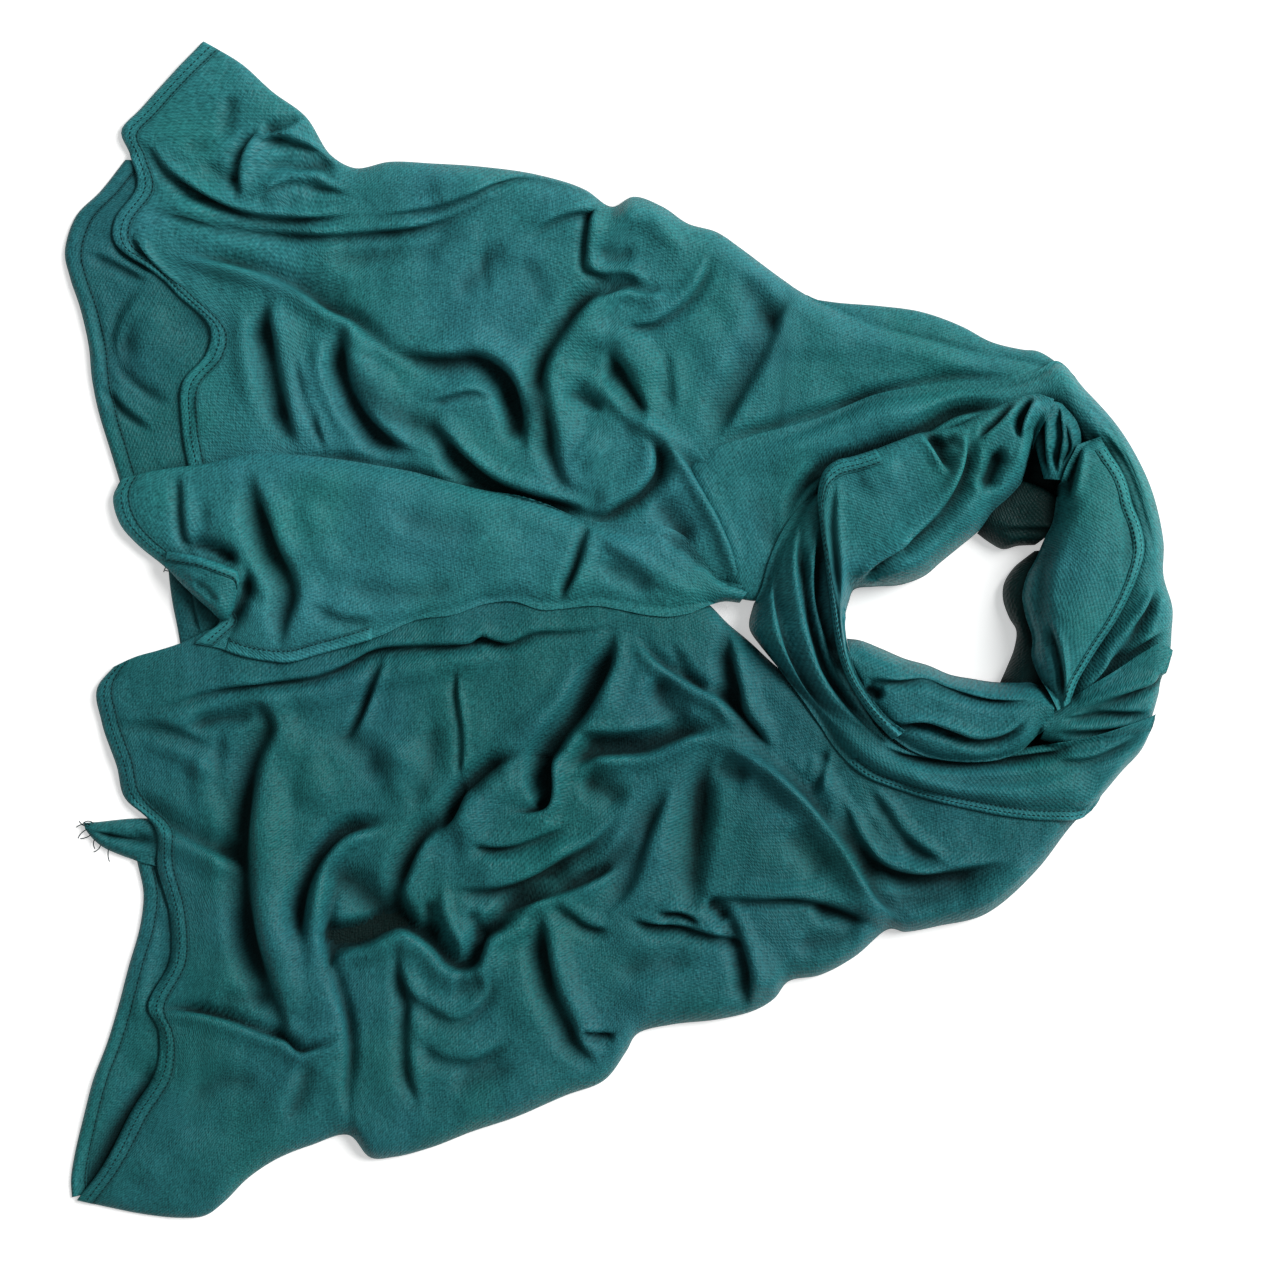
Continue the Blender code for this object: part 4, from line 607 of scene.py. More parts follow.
lowerTail = {
    "node": "lower_tail", "restsOn": "tails_hidden_layers", "slot": "cloth_lower", "tone": "low", "farZ": 6, "farRoll": 26, "startZ": 3,
    "sections": [
        (-304, -23, -326, -343, 6), (-291, -17, -308, -347, 8), (-277, -13, -288, -351, 9),
        (-262, -8, -265, -353.5, 10), (-245, 0, -249, -352, 11), (-228, 2, -238, -344, 12),
        (-210, 0, -224, -330, 13), (-190, 2, -206, -318, 14), (-172, 6, -186, -310, 14),
        (-158, 10, -163, -304, 14), (-146, 15, -151, -317, 14), (-130, 22, -136, -317, 15),
        (-112, 27, -113, -311, 15), (-92, 30, -90, -302, 16), (-70, 32, -63, -293, 16),
        (-50, 32, -33, -280, 17), (-30, 31, -10, -271, 17), (-10, 30, 3, -254, 18), (8, 28, 10, -243, 18),
        (24, 25, 31, -237.5, 18), (39, 21, 58, -234.5, 19), (52, 15, 79, -229.5, 19),
        (64, 3, 92, -222, 20), (76, -7, 100, -212, 20), (90, -20, 119, -208, 21),
        (107, -34, 140, -197, 22), (126, -46, 159, -181, 22), (156, -65, 171, -182, 23),
        (189, -76, 190, -178.5, 24), (218, -81, 219, -171, 25), (243, -83, 250, -144, 25),
        (260, -85, 271, -117, 24), (272, -84, 284, -104, 22),
    ],
    "startOutline": [
        (0.00, -304, -23), (0.04, -313, -34), (0.11, -311, -56), (0.19, -302, -82), (0.26, -296, -104),
        (0.31, -281, -119), (0.39, -277, -145), (0.48, -270, -172), (0.56, -270, -199), (0.64, -283, -227),
        (0.69, -277, -240), (0.76, -278, -264), (0.84, -293, -289), (0.92, -309, -320), (1.00, -326, -343),
    ],
    "folds": [
        ("top groove", 4, 7, 9, 8, (-300, -46), (-286, -47), (-266, -44), (-254, -40), (-242, -37), (-212, -33), (-197, -31),
         (-183, -29), (-165, -22), (-148, -13), (-124, -10.5), (-100, -10), (-90, -9), (-83, -5), (-77, -7),
         (-67, -9), (-60, -6), (-52, -3), (-37, -2), (-21, -1), (-12, 1), (5, 2)),
        ("groove ridge", 4.5, 0, 10, 12, (-292, -30), (-286, -42), (-274, -51), (-256, -50), (-233, -43),
         (-212, -40), (-180, -40), (-150, -30), (-110, -22), (-30, -13)),
        ("corner crease", 1.5, 3, 12, 11, (-308, -57), (-286, -57), (-265, -62), (-240, -73)),
        ("hem crease", 4, 6, 18, 15, (-222, -148), (-230, -141), (-253, -129), (-277, -116), (-300, -97)),
        ("long valley", 8, 9, 26, 22, (-232, -44), (-214, -47), (-208, -60), (-215, -75), (-220, -98),
         (-223, -127), (-222, -156), (-218, -186), (-212, -206), (-203, -230), (-194, -254)),
        ("long ridge", 4, 0, 14, 14, (-203, -84), (-207, -130), (-203, -180), (-190, -222), (-176, -246)),
        ("second valley", 5, 10, 13, 14, (-136, -117), (-150, -119), (-165, -124), (-177, -136), (-186, -154),
         (-190, -172), (-192, -192)),
        ("second ridge", 4.5, 0, 7, 7, (-138, -125), (-156, -128), (-169, -137), (-176, -152), (-180, -171),
         (-185, -192), (-186, -214)),
        ("foot flow", 4, 0, 17, 17, (-184, -206), (-180, -232), (-182, -256), (-200, -278), (-224, -296)),
        ("second slot", 3.5, 5, 20, 9, (-162, -304), (-165, -274), (-163, -259), (-164, -236), (-171, -211),
         (-176, -192), (-176, -178), (-172, -158), (-166, -146)),
        ("pocket floor", 0, 11, 10, 10, (-184, -184), (-168, -181), (-148, -176), (-134, -172)),
        ("inside hollow", 0, 11, 20, 22, (-176, -140), (-158, -154), (-140, -168), (-118, -172)),
        ("end crease", 4, 8, 11, 9, (-166, -244), (-180, -250), (-193, -253), (-200, -247), (-212, -243),
         (-233, -235), (-262, -229), (-284, -229)),
        ("end fan", 0, 4, 12, 12, (-208, -224), (-225, -222), (-245, -222)),
        ("foot shade", 0, 5, 12, 12, (-186, -256), (-190, -276), (-200, -296)),
        ("finger end", 4, 0, 9, 9, (-206, -236), (-190, -244), (-172, -240)),
        ("foot dent", 0, 4, 16, 16, (-262, -286), (-236, -270), (-214, -276)),
        ("foot swell", 3, 0, 18, 18, (-300, -326), (-262, -318), (-226, -310)),
        ("short valley", 3, 5, 8, 9, (-141, -16), (-143, -22), (-149, -39), (-156, -56), (-165, -70)),
        ("left light", 3, 0, 16, 16, (-190, -56), (-186, -90), (-178, -112)),
        ("soft spot", 0, 4, 16, 16, (-176, -62), (-154, -72), (-146, -96)),
        ("leaf light", 3.5, 0, 12, 12, (-146, -64), (-134, -84), (-132, -108)),
        ("slanting shade", 0, 4, 12, 12, (-112, -52), (-114, -84), (-126, -112)),
        ("left upright", 0, 3, 8, 8, (-240, -60), (-240, -84), (-238, -112)),
        ("left light ridge", 2.5, 0, 9, 9, (-250, -72), (-251, -96), (-248, -116)),
        ("arrow valley", 6, 13, 17, 19, (-4, 4), (-5, -18), (-13, -37), (-22, -52), (-34, -67), (-41, -81),
         (-43, -96), (-44, -108), (-56, -113)),
        ("arrow left ridge", 5, 0, 13, 13, (-28, -18), (-38, -46), (-62, -66), (-86, -80)),
        ("arrow right ridge", 4, 0, 12, 12, (12, -8), (8, -40), (-14, -62)),
        ("thin upright line", 2, 3.5, 6, 6, (-98, -20), (-98, -39), (-95, -62), (-96, -98)),
        ("leaf valley", 3, 8, 14, 16, (-95, -86), (-96, -98), (-101, -112),
         (-118, -127), (-127, -145), (-131, -156), (-128, -174)),
        ("leaf ridge", 4, 0, 12, 12, (-140, -66), (-120, -84), (-112, -104)),
        ("elbow slot", 5, 10, 15, 13, (-58, -76), (-70, -80), (-80, -87), (-91, -98), (-98, -113), (-108, -126)),
        ("elbow curl", 3, 7, 9, 9, (-54, -73), (-44, -77), (-39, -90), (-44, -106), (-54, -110), (-70, -109)),
        ("elbow ridge", 5, 0, 10, 10, (-50, -92), (-74, -98), (-88, -118), (-96, -142)),
        ("elbow band", 3, 7, 9, 9, (-92, -128), (-78, -131), (-64, -130), (-47, -124), (-30, -117)),
        ("elbow band ridge", 4, 0, 8, 8, (-100, -146), (-78, -142), (-50, -135), (-24, -122)),
        ("lower band", 5, 9, 12, 13, (-104, -154), (-92, -156), (-79, -156), (-54, -149), (-35, -138),
         (-16, -127), (-2, -112)),
        ("lower band ridge", 5, 0, 9, 9, (-82, -166), (-54, -159), (-32, -152), (-10, -141), (6, -127),
         (14, -108)),
        ("arch slot", 6, 12, 14, 16, (58, -61), (50, -62), (40, -64), (28, -69), (15, -74), (0, -75),
         (-16, -77), (-24, -82), (-34, -85)),
        ("arch", 8, 0, 11, 12, (34, -74), (46, -68), (65, -68), (84, -79), (102, -95), (121, -111),
         (134, -126), (141, -142), (147, -160), (156, -174)),
        ("arch hollow", 0, 11, 13, 21, (54, -70), (49, -94), (48, -109), (46, -127), (44, -150), (46, -172)),
        ("arch panel", 3, 0, 24, 24, (84, -104), (92, -132), (100, -150)),
        ("arch shade", 0, 5, 13, 13, (54, -80), (66, -86), (78, -90)),
        ("left band", 3, 6, 18, 19, (30, -92), (24, -106), (15, -128), (5, -156), (-12, -172)),
        ("oval hollow", 0, 7, 16, 16, (-26, -90), (-10, -96), (4, -106)),
        ("eye slot", 5, 9, 15, 16, (64, 4), (65, -9), (70, -34), (74, -49), (84, -64), (91, -76)),
        ("eye ridge", 6, 4, 12, 9, (88, -72), (84, -66), (71, -54), (59, -42), (40, -32), (22, -20), (6, -3)),
        ("eye line", 0, 4, 6, 6, (28, -8), (43, -29), (54, -40)),
        ("eye hollow", 0, 7, 14, 14, (20, -28), (28, -46), (42, -55)),
        ("pocket", 0, 12, 13, 12, (-182, -187), (-168, -186), (-150, -182), (-136, -176), (-124, -174)),
        ("crest", 7, 12, 17, 13, (-40, -160), (-50, -164), (-58, -172), (-70, -179), (-80, -185), (-83, -193),
         (-86, -200), (-95, -204), (-103, -201), (-112, -191), (-124, -182), (-134, -179), (-142, -182),
         (-153, -188), (-165, -192), (-174, -202), (-177, -214)),
        ("tongue", 5, 0, 6, 6, (-106, -152), (-104, -170), (-97, -184), (-92, -194)),
        ("tongue slot", 0, 6, 8, 8, (-116, -160), (-114, -174), (-106, -186)),
        ("tongue slot right", 0, 6, 7, 7, (-92, -168), (-86, -178), (-84, -188)),
        ("wedge slot", 4, 10, 10, 11, (2, -140), (-16, -150), (-32, -157), (-51, -163), (-69, -170),
         (-86, -178)),
        ("crest valley", 3.5, 5, 14, 11, (-134, -186), (-132, -204), (-127, -224), (-128, -245), (-126, -268),
         (-119, -290)),
        ("first swag", 3, 4, 11, 10, (-130, -208), (-115, -226), (-98, -234), (-82, -222), (-76, -204)),
        ("second swag", 2.5, 3.5, 12, 10, (-124, -240), (-108, -256), (-88, -258), (-66, -244)),
        ("low bowl", 0, 4, 14, 14, (-104, -276), (-84, -268), (-62, -262)),
        ("broad swell", 3, 0, 18, 18, (-100, -292), (-66, -276), (-40, -262)),
        ("bowl", 0, 6, 12, 12, (-102, -212), (-92, -215), (-80, -212)),
        ("hanging valley", 6, 7.5, 18, 18, (-50, -166), (-46, -180), (-43, -199), (-38, -218), (-29, -237),
         (-24, -249), (-12, -262)),
        ("hanging side ridge", 3, 0, 16, 16, (-60, -190), (-58, -220), (-48, -244)),
        ("curl pocket", 2, 7, 6, 8, (-22, -239), (-14, -241), (-2, -242)),
        ("arrow branch", 2, 3, 9, 9, (-30, -62), (-14, -64), (10, -62), (30, -58)),
        ("hollow left of arch", 0, 7, 12, 12, (-52, -148), (-26, -148), (-6, -138), (8, -120)),
        ("leaf shade", 0, 5, 13, 13, (-88, -104), (-80, -92), (-66, -84)),
        ("dark fan", 0, 6, 10, 9, (-262, -58), (-240, -54), (-214, -54)),
        ("fan rise", 3.5, 0, 10, 10, (-290, -64), (-262, -74), (-240, -90)),
        ("foot line", 3, 5, 10, 9, (-42, -166), (-30, -171), (-21, -177), (-5, -181)),
        ("panel rim", 4, 7, 8, 10, (2, -172), (16, -176), (37, -178), (54, -183), (76, -188)),
        ("rim point", 4, 7, 7, 7, (20, -168), (40, -170), (50, -176)),
        ("panel lip", 5, 4, 14, 8, (46, -158), (59, -161), (77, -162), (109, -162), (134, -169), (158, -180)),
        ("lip corner", 0, 8, 8, 8, (50, -162), (60, -170), (62, -176)),
        ("panel shade", 0, 7, 14, 10, (112, -168), (130, -172), (146, -178)),
        ("foot crease", 4, 6, 13, 14, (62, -164), (68, -176), (72, -188), (77, -209), (75, -232)),
        ("foot ridge", 3.5, 0, 9, 9, (79, -184), (87, -202), (92, -220)),
        ("loop valley", 5, 8, 13, 14, (130, -98), (135, -110), (142, -125), (158, -142), (178, -147),
         (196, -145), (232, -139)),
        ("loop upper valley", 3, 4.5, 11, 11, (148, -94), (157, -106), (168, -122), (184, -134), (198, -140)),
        ("arch edge", 6, 5, 16, 12, (178, -182), (164, -172), (152, -160), (141, -143), (127, -122),
         (106, -97), (82, -78), (58, -67)),
        ("bottom dip", 0, 4, 14, 14, (100, -190), (124, -186), (146, -180)),
        ("foot light", 3, 0, 14, 14, (0, -226), (30, -214), (60, -208)),
        ("foot dip", 0, 4, 16, 14, (-6, -206), (20, -200), (44, -200)),
        ("loop shade", 0, 5, 16, 14, (150, -164), (186, -160), (222, -148)),
        ("panel dip", 0, 4, 16, 16, (96, -118), (112, -134), (126, -150)),
        ("loop side valley", 1.5, 2.5, 9, 9, (148, -110), (156, -122), (168, -136)),
        ("loop first crease", 1.5, 3, 8, 8, (124, -70), (121, -84), (117, -100)),
        ("loop edge ridge", 4, 0, 9, 9, (112, -74), (126, -98), (136, -116)),
        ("loop lower ridge", 4, 0, 10, 10, (146, -142), (156, -160), (166, -172)),
        ("bottom swell", 3, 0, 18, 18, (200, -166), (226, -156), (246, -136)),
    ],
    "hems": [{"node": "lower_tail_hem", "edge": "start", "rows": (5.0, 9.4)}],
}
middleFlap = {
    "node": "middle_flap", "restsOn": "upper_tail", "slot": "cloth_upper", "tone": "lit", "farZ": 8, "nearZ": 8, "startZ": 4,
    "sections": [
        (-299, 89.5, -255, -9, 9), (-286, 93, -247, -10.5, 11), (-270, 96, -238, -12.5, 13),
        (-250, 98.5, -226, -16.5, 15), (-230, 103, -213, -19, 17), (-210, 105, -198, -20, 18),
        (-190, 103.5, -183, -16, 19), (-168, 101, -165, -11, 20), (-146, 97.5, -144, -4.5, 21),
        (-124, 93.5, -122, 5, 21), (-102, 87.5, -100, 8, 22), (-80, 82.5, -81, 14.5, 22),
        (-60, 79, -64, 16, 22), (-44, 74, -47, 11, 22), (-30, 68, -32, 12, 22), (-17, 64, -16, 13.5, 22),
        (-3, 63, 0, 11, 22), (12, 62.5, 15, 8, 22), (26, 61, 29, 7, 22), (38, 55, 41, 9, 22),
        (47, 44, 52, 13.5, 21), (56, 32, 61, 16, 20), (77, 24, 71, 15.3, 18),
    ],
    "startOutline": [
        (0.00, -299, 89.5), (0.10, -304, 79), (0.22, -300, 63), (0.34, -289, 50), (0.47, -273, 37),
        (0.60, -259, 23), (0.72, -246, 11), (0.82, -240, 4), (0.92, -248, -3), (1.00, -255, -9),
    ],
    "folds": [
        ("slanting valley", 4, 9, 20, 20, (-224, 97), (-220, 88), (-213, 70), (-204, 46), (-196, 30),
         (-194, 20), (-199, 4), (-204, -14)),
        ("valley side", 3, 0, 13, 13, (-190, 80), (-180, 56), (-176, 30)),
        ("corner crease", 2, 4, 9, 8, (-266, 97), (-263, 83), (-262, 67), (-259, 51), (-253, 41)),
        ("corner line", 0, 2.2, 6, 6, (-250, 78), (-249, 60)),
        ("dimple", 0, 3, 8, 8, (-242, 45), (-230, 43)),
        ("short crease", 0, 3.2, 8, 8, (-229, 30), (-213, 13)),
        ("corner brow", 0, 7, 8, 8, (-264, 52), (-248, 49), (-236, 44), (-226, 36)),
        ("corner slot", 0, 8, 8, 8, (-226, 40), (-223, 28), (-227, 14), (-236, 0), (-250, -10)),
        ("flap swell", 3, 0, 14, 14, (-252, 64), (-236, 58), (-226, 40)),
        ("flap dip", 0, 3.5, 16, 16, (-140, 70), (-110, 60), (-80, 56)),
        ("hem dent", 1.5, 3, 11, 9, (-186, 16), (-165, 6), (-144, 6)),
        ("middle swell", 3, 0, 24, 24, (-180, 62), (-110, 58), (-50, 46)),
        ("lower shade", 0, 3.5, 14, 12, (-170, 26), (-130, 20), (-90, 26)),
        ("cross crease", 3, 6, 12, 9, (-18, 66), (-21, 54), (-24, 42), (-28, 31), (-38, 13)),
        ("tip ridge", 4, 0, 9, 9, (-20, 62), (4, 46), (26, 30), (44, 20)),
        ("soft valley", 0, 5, 12, 12, (-14, 40), (4, 30), (20, 20)),
        ("end shade", 0, 7, 14, 14, (26, 58), (44, 46), (54, 36)),
        ("upper shade", 0, 3, 12, 12, (-12, 66), (10, 62)),
    ],
    "hems": [{"node": "middle_flap_hem", "edge": "start", "span": (0.0, 0.98), "rows": (5.2, 9.4)},
             {"node": "middle_flap_lower_hem", "edge": "near", "span": (0.08, 0.36), "rows": (6.2,),
              "width": 8.0}],
}
turnedCorner = {
    "node": "turned_corner", "restsOn": "middle_back_end", "slot": "cloth_lower", "tone": "mid", "cell": 1.2, "farZ": 17, "nearZ": 12,
    "farRoll": 5, "nearRoll": 9, "bridges": False,
    "sections": [
        (-271, 46, -273, 38.5, 12), (-262, 44.5, -263, 27, 17), (-253, 43, -253, 17.5, 20),
        (-243, 40, -246, 11.5, 21), (-235, 37, -240, 6, 21), (-229.5, 34.5, -235.5, 5, 20),
        (-227.5, 29, -231, 12, 19),
    ],
    "folds": [
        ("corner rib", 1.5, 0, 4, 4, (-262, 36), (-246, 24), (-236, 14)),
        ("corner hollow", 0, 4, 6, 6, (-256, 30), (-246, 22), (-240, 14)),
    ],
    "hems": [{"node": "turned_corner_hem", "inCad": False, "edge": "far", "rows": (4.8,), "width": 6.0}],
}
ringBand = {
    "node": "ring_band", "slot": "cloth_upper", "tone": "lit", "nearZ": 12, "nearRoll": 24, "farZ": 3,
    "startZ": 9, "tuck": 16,
    "sections": [
        (42, 97, 66, 18, 19), (55, 105.5, 84, 16, 20), (71, 112, 96, 24, 21), (86, 117, 103, 42, 22),
        (102, 121, 110, 62, 24), (119, 126, 124, 80, 25), (134, 132.5, 140, 92, 26),
        (150, 139, 160, 98, 27), (165, 142.5, 178, 104, 28), (182, 145, 196, 107, 28),
        (201, 147, 212, 114, 29), (220, 147.5, 228, 122, 30), (236, 149, 240, 130, 30),
        (248, 153.5, 252, 132, 30), (260, 160, 262, 128, 30), (279, 142, 270, 118, 30),
        (297, 122, 279, 105, 29), (309, 103, 287, 91, 29), (319, 80, 293, 72, 29), (325, 52, 299, 54, 29),
        (325, 32, 297, 32, 29), (330.5, 12, 288, 10, 29), (330, -2, 279, -8, 28), (329, -14, 268, -30, 27), (326, -26, 264, -42, 26),
    ],
    "startOutline": [
        (0.00, 30, 96), (0.25, 40, 78), (0.50, 48, 60), (0.75, 56, 40), (1.00, 64, 19),
    ],
    "folds": [
        ("foot slot", 3, 13, 12, 13, (238, 134), (224, 131), (199, 126), (181, 116), (160, 106), (139, 98),
         (121, 92), (106, 78), (97, 60)),
        ("band swell", 4, 0, 12, 12, (66, 88), (100, 108), (140, 122), (190, 137)),
        ("start shade", 0, 4, 12, 12, (80, 84), (86, 66), (90, 46)),
        ("outer pleat", 3, 4, 8, 6, (283, 122), (300, 101), (309, 80), (315, 60), (319, 42)),
        ("outer line", 2, 3, 6, 5, (262, 140), (270, 138), (284, 130), (294, 119), (304, 102), (316, 72),
         (321, 48)),
        ("inner shade", 0, 7, 9, 9, (270, 124), (288, 104), (299, 80), (305, 50), (303, 26)),
        ("first fan slot", 5, 10, 10, 9, (284, -30), (290, -18), (302, -4), (314, 14), (319, 26)),
        ("second fan slot", 5, 10, 9, 9, (274, -42), (290, -24), (308, -11), (324, -1)),
    ],
}
# the inner layers in the ring's hole take the dark copy of the teal: painted shade
ringInnerTop = {
    "node": "ring_inner_top", "slot": "cloth_inside", "tone": "dark", "farZ": 2, "nearZ": 14,
    "sections": [
        (213.5, 57, 228, 88, 16), (221, 51.5, 240, 88, 17), (229, 47.5, 252, 84, 18),
        (238, 49.5, 262, 76, 18), (248, 50, 268, 66, 18),
    ],
    "folds": [
        ("inside crease", 2, 3, 5, 5, (224, 60), (240, 60), (262, 60)),
    ],
}
ringInnerRight = {
    "node": "ring_inner_right", "slot": "cloth_inside", "tone": "dark", "farZ": 2, "nearZ": 14,
    "sections": [
        (248, 46.5, 272, 48, 15), (242, 42, 272, 40, 16), (236, 37, 272, 32, 17), (230, 28, 272, 24, 18),
        (229, 18, 270, 14, 18), (233, 6, 268, 4, 18), (237, -1, 266, -5, 18), (236, -11, 264, -14, 18),
        (231, -24, 260, -24, 18), (227, -33, 254, -34, 17),
    ],
    "folds": [
        ("inside crease", 2, 3, 5, 5, (252, 44), (244, 16), (248, -20)),
    ],
}
ringFan = {
    "node": "ring_fan", "slot": "cloth_upper", "tone": "mid", "cell": 1.6, "farZ": 16, "nearZ": 16,
    "endZ": 4, "firmEdge": 4,
    "sections": [
        (256, -44, 250, -66, 33), (268, -41, 262, -70, 33), (281, -33, 276, -72, 32),
        (296, -24, 291, -70, 31), (311, -14, 304, -66, 29), (321, -9, 313, -61, 27),
        (329.5, -13, 318.5, -51, 25),
    ],
    "folds": [
        ("fan slot", 4, 7, 8, 7, (264, -48), (269, -47), (290, -42), (306, -37), (318, -32), (325, -21)),
        ("fan lower slot", 3, 6, 7, 6, (260, -54), (285, -50), (318, -50)),
        ("fan line", 2, 5, 6, 6, (258, -62), (290, -60), (314, -56)),
    ],
}
ringLeftWrap = {
    "node": "ring_left_wrap", "slot": "cloth_upper", "tone": "mid", "cell": 1.6, "farZ": 3, "nearZ": 18,
    "sections": [
        (116, 80, 127, 86, 30), (107, 73, 128, 71, 31), (99, 63, 129, 58, 32), (92, 50, 130, 46, 32),
        (87.5, 38, 131, 33, 32), (84, 25, 132, 20, 32), (79, 13, 133, 6, 32), (77, 0, 134, -8, 32),
        (84, -11, 136, -20, 32), (95, -25, 140, -33, 32), (107, -41, 147, -46, 32),
        (118, -57, 156, -58, 32), (129, -73, 168, -67, 32), (144, -87, 183, -73, 32),
        (163, -95, 200, -75, 32), (185, -102, 218, -74, 32), (208, -107.5, 236, -72, 32),
        (232, -112, 254, -69, 32), (256, -114, 272, -66, 31), (277, -112, 288, -62, 29),
        (289, -98.5, 300, -58, 28), (300, -85.5, 309, -55, 26), (311, -73.5, 314, -53, 24),
        (316.5, -62, 318.5, -51, 21),
    ],
    "folds": [
        ("first pleat", 5, 10, 9, 8, (153, -64), (133, -45), (118, -22), (112, -4), (107, 20), (105, 38),
         (107, 66)),
        ("second pleat", 4, 8, 8, 8, (135, -62), (118, -46), (102, -22), (94, 2), (91, 20), (93, 42)),
        ("inner pleat", 4, 10, 7, 8, (134, -34), (127, -22), (121, -4), (116, 17), (115, 34), (119, 62)),
        ("outer ridge", 3, 0, 6, 6, (86, 10), (88, -8), (100, -31), (118, -52)),
        ("under slot", 2, 11, 9, 9, (150, -67), (163, -73), (181, -77), (205, -79), (230, -77), (254, -73),
         (272, -67), (286, -66)),
        ("lower swell", 3.5, 0, 12, 10, (140, -74), (180, -92), (230, -98), (284, -90)),
        ("lower crease", 3, 5, 9, 8, (245, -76), (280, -77), (296, -70), (311, -62)),
        ("lower line", 0, 2.5, 7, 7, (170, -84), (205, -91), (240, -90), (270, -84)),
    ],
    "hems": [{"node": "ring_left_wrap_hem", "edge": "far", "span": (0.50, 0.86), "rows": (2.4, 5.4),
              "width": 7.0}],
}
ringStrands = {
    "node": "ring_strands", "slot": "cloth_inside", "tone": "mid", "cell": 1.2, "farZ": 24, "nearZ": 24,
    "firmEdge": 3,
    "sections": [
        (245, 136, 262, 134, 37), (245, 125, 271, 123, 38), (246, 112, 274, 110, 37),
        (249, 100, 269, 98, 34), (252, 89, 264, 88, 30),
    ],
    "folds": [
        ("first strand", 4, 9, 5, 5, (251, 134), (252, 112), (254, 92)),
        ("second strand", 4, 9, 5, 5, (260, 134), (262, 112), (259, 92)),
        ("third strand", 3, 6, 4, 4, (266, 124), (268, 106), (262, 94)),
    ],
}
ringInnerBottom = {
    "node": "ring_inner_bottom", "slot": "cloth_upper", "tone": "mid", "cell": 1.6, "farZ": 4,
    "nearZ": 20,
    "sections": [
        (134.5, -6, 138, -28, 36), (143, -7, 144, -42, 37), (156, -12, 153, -56, 38),
        (170, -18, 164, -67, 39), (184, -22, 178, -75, 39), (197, -27.5, 193, -78.5, 40),
        (210, -30, 209, -79.5, 40), (223, -32, 225, -78, 40), (235, -32.5, 238, -73, 40),
        (247, -33, 249, -63, 39), (257, -41, 257, -54, 38),
    ],
    "folds": [
        ("inner slot", 4, 8, 8, 8, (143, -30), (165, -31), (181, -30), (194, -35), (210, -40), (235, -43),
         (252, -42)),
        ("outer slot", 5, 10, 8, 8, (156, -56), (164, -57), (181, -56), (196, -61), (211, -66), (230, -62),
         (242, -52)),
        ("side pocket", 0, 9, 8, 7, (144, -35), (156, -41)),
    ],
}
ringRightWrap = {
    "node": "ring_right_wrap", "slot": "cloth_upper", "tone": "lit", "cell": 1.6, "farZ": 26, "nearZ": 6,
    "startZ": 24,
    "nearRoll": 20,
    "sections": [
        (285, 114, 271, 109, 37), (291, 104, 263, 92, 38), (297, 95, 260, 78, 39),
        (301, 86, 257.5, 64, 40), (304, 74, 252.5, 53, 41), (309, 61, 248, 42, 41),
        (311, 48, 242.5, 32, 41), (308, 34, 239.5, 20, 41), (302, 19, 241.5, 7, 41),
        (294, 4, 245.5, -6, 41), (286, -8, 245, -17, 40), (279, -19, 249, -28, 40),
        (272, -31, 254, -38, 39), (267, -44, 259, -49, 38),
    ],
    "folds": [
        ("side swell", 3.5, 0, 16, 16, (282, 96), (276, 40), (264, -20)),
        ("top pleat", 3, 6, 8, 7, (274, 112), (270, 92), (266, 74)),
        ("foot pleat", 3, 7, 7, 7, (254, 6), (260, -14), (263, -30), (263, -46)),
        ("inner roll", 0, 5, 9, 9, (262, 62), (252, 40), (249, 14), (252, -8)),
        ("side shade", 0, 3, 8, 8, (296, 84), (301, 60), (298, 28)),
    ],
    "hems": [{"node": "ring_right_wrap_hem", "edge": "far", "span": (0.06, 0.96), "rows": (2.2, 5.6),
              "width": 7.4}],
}
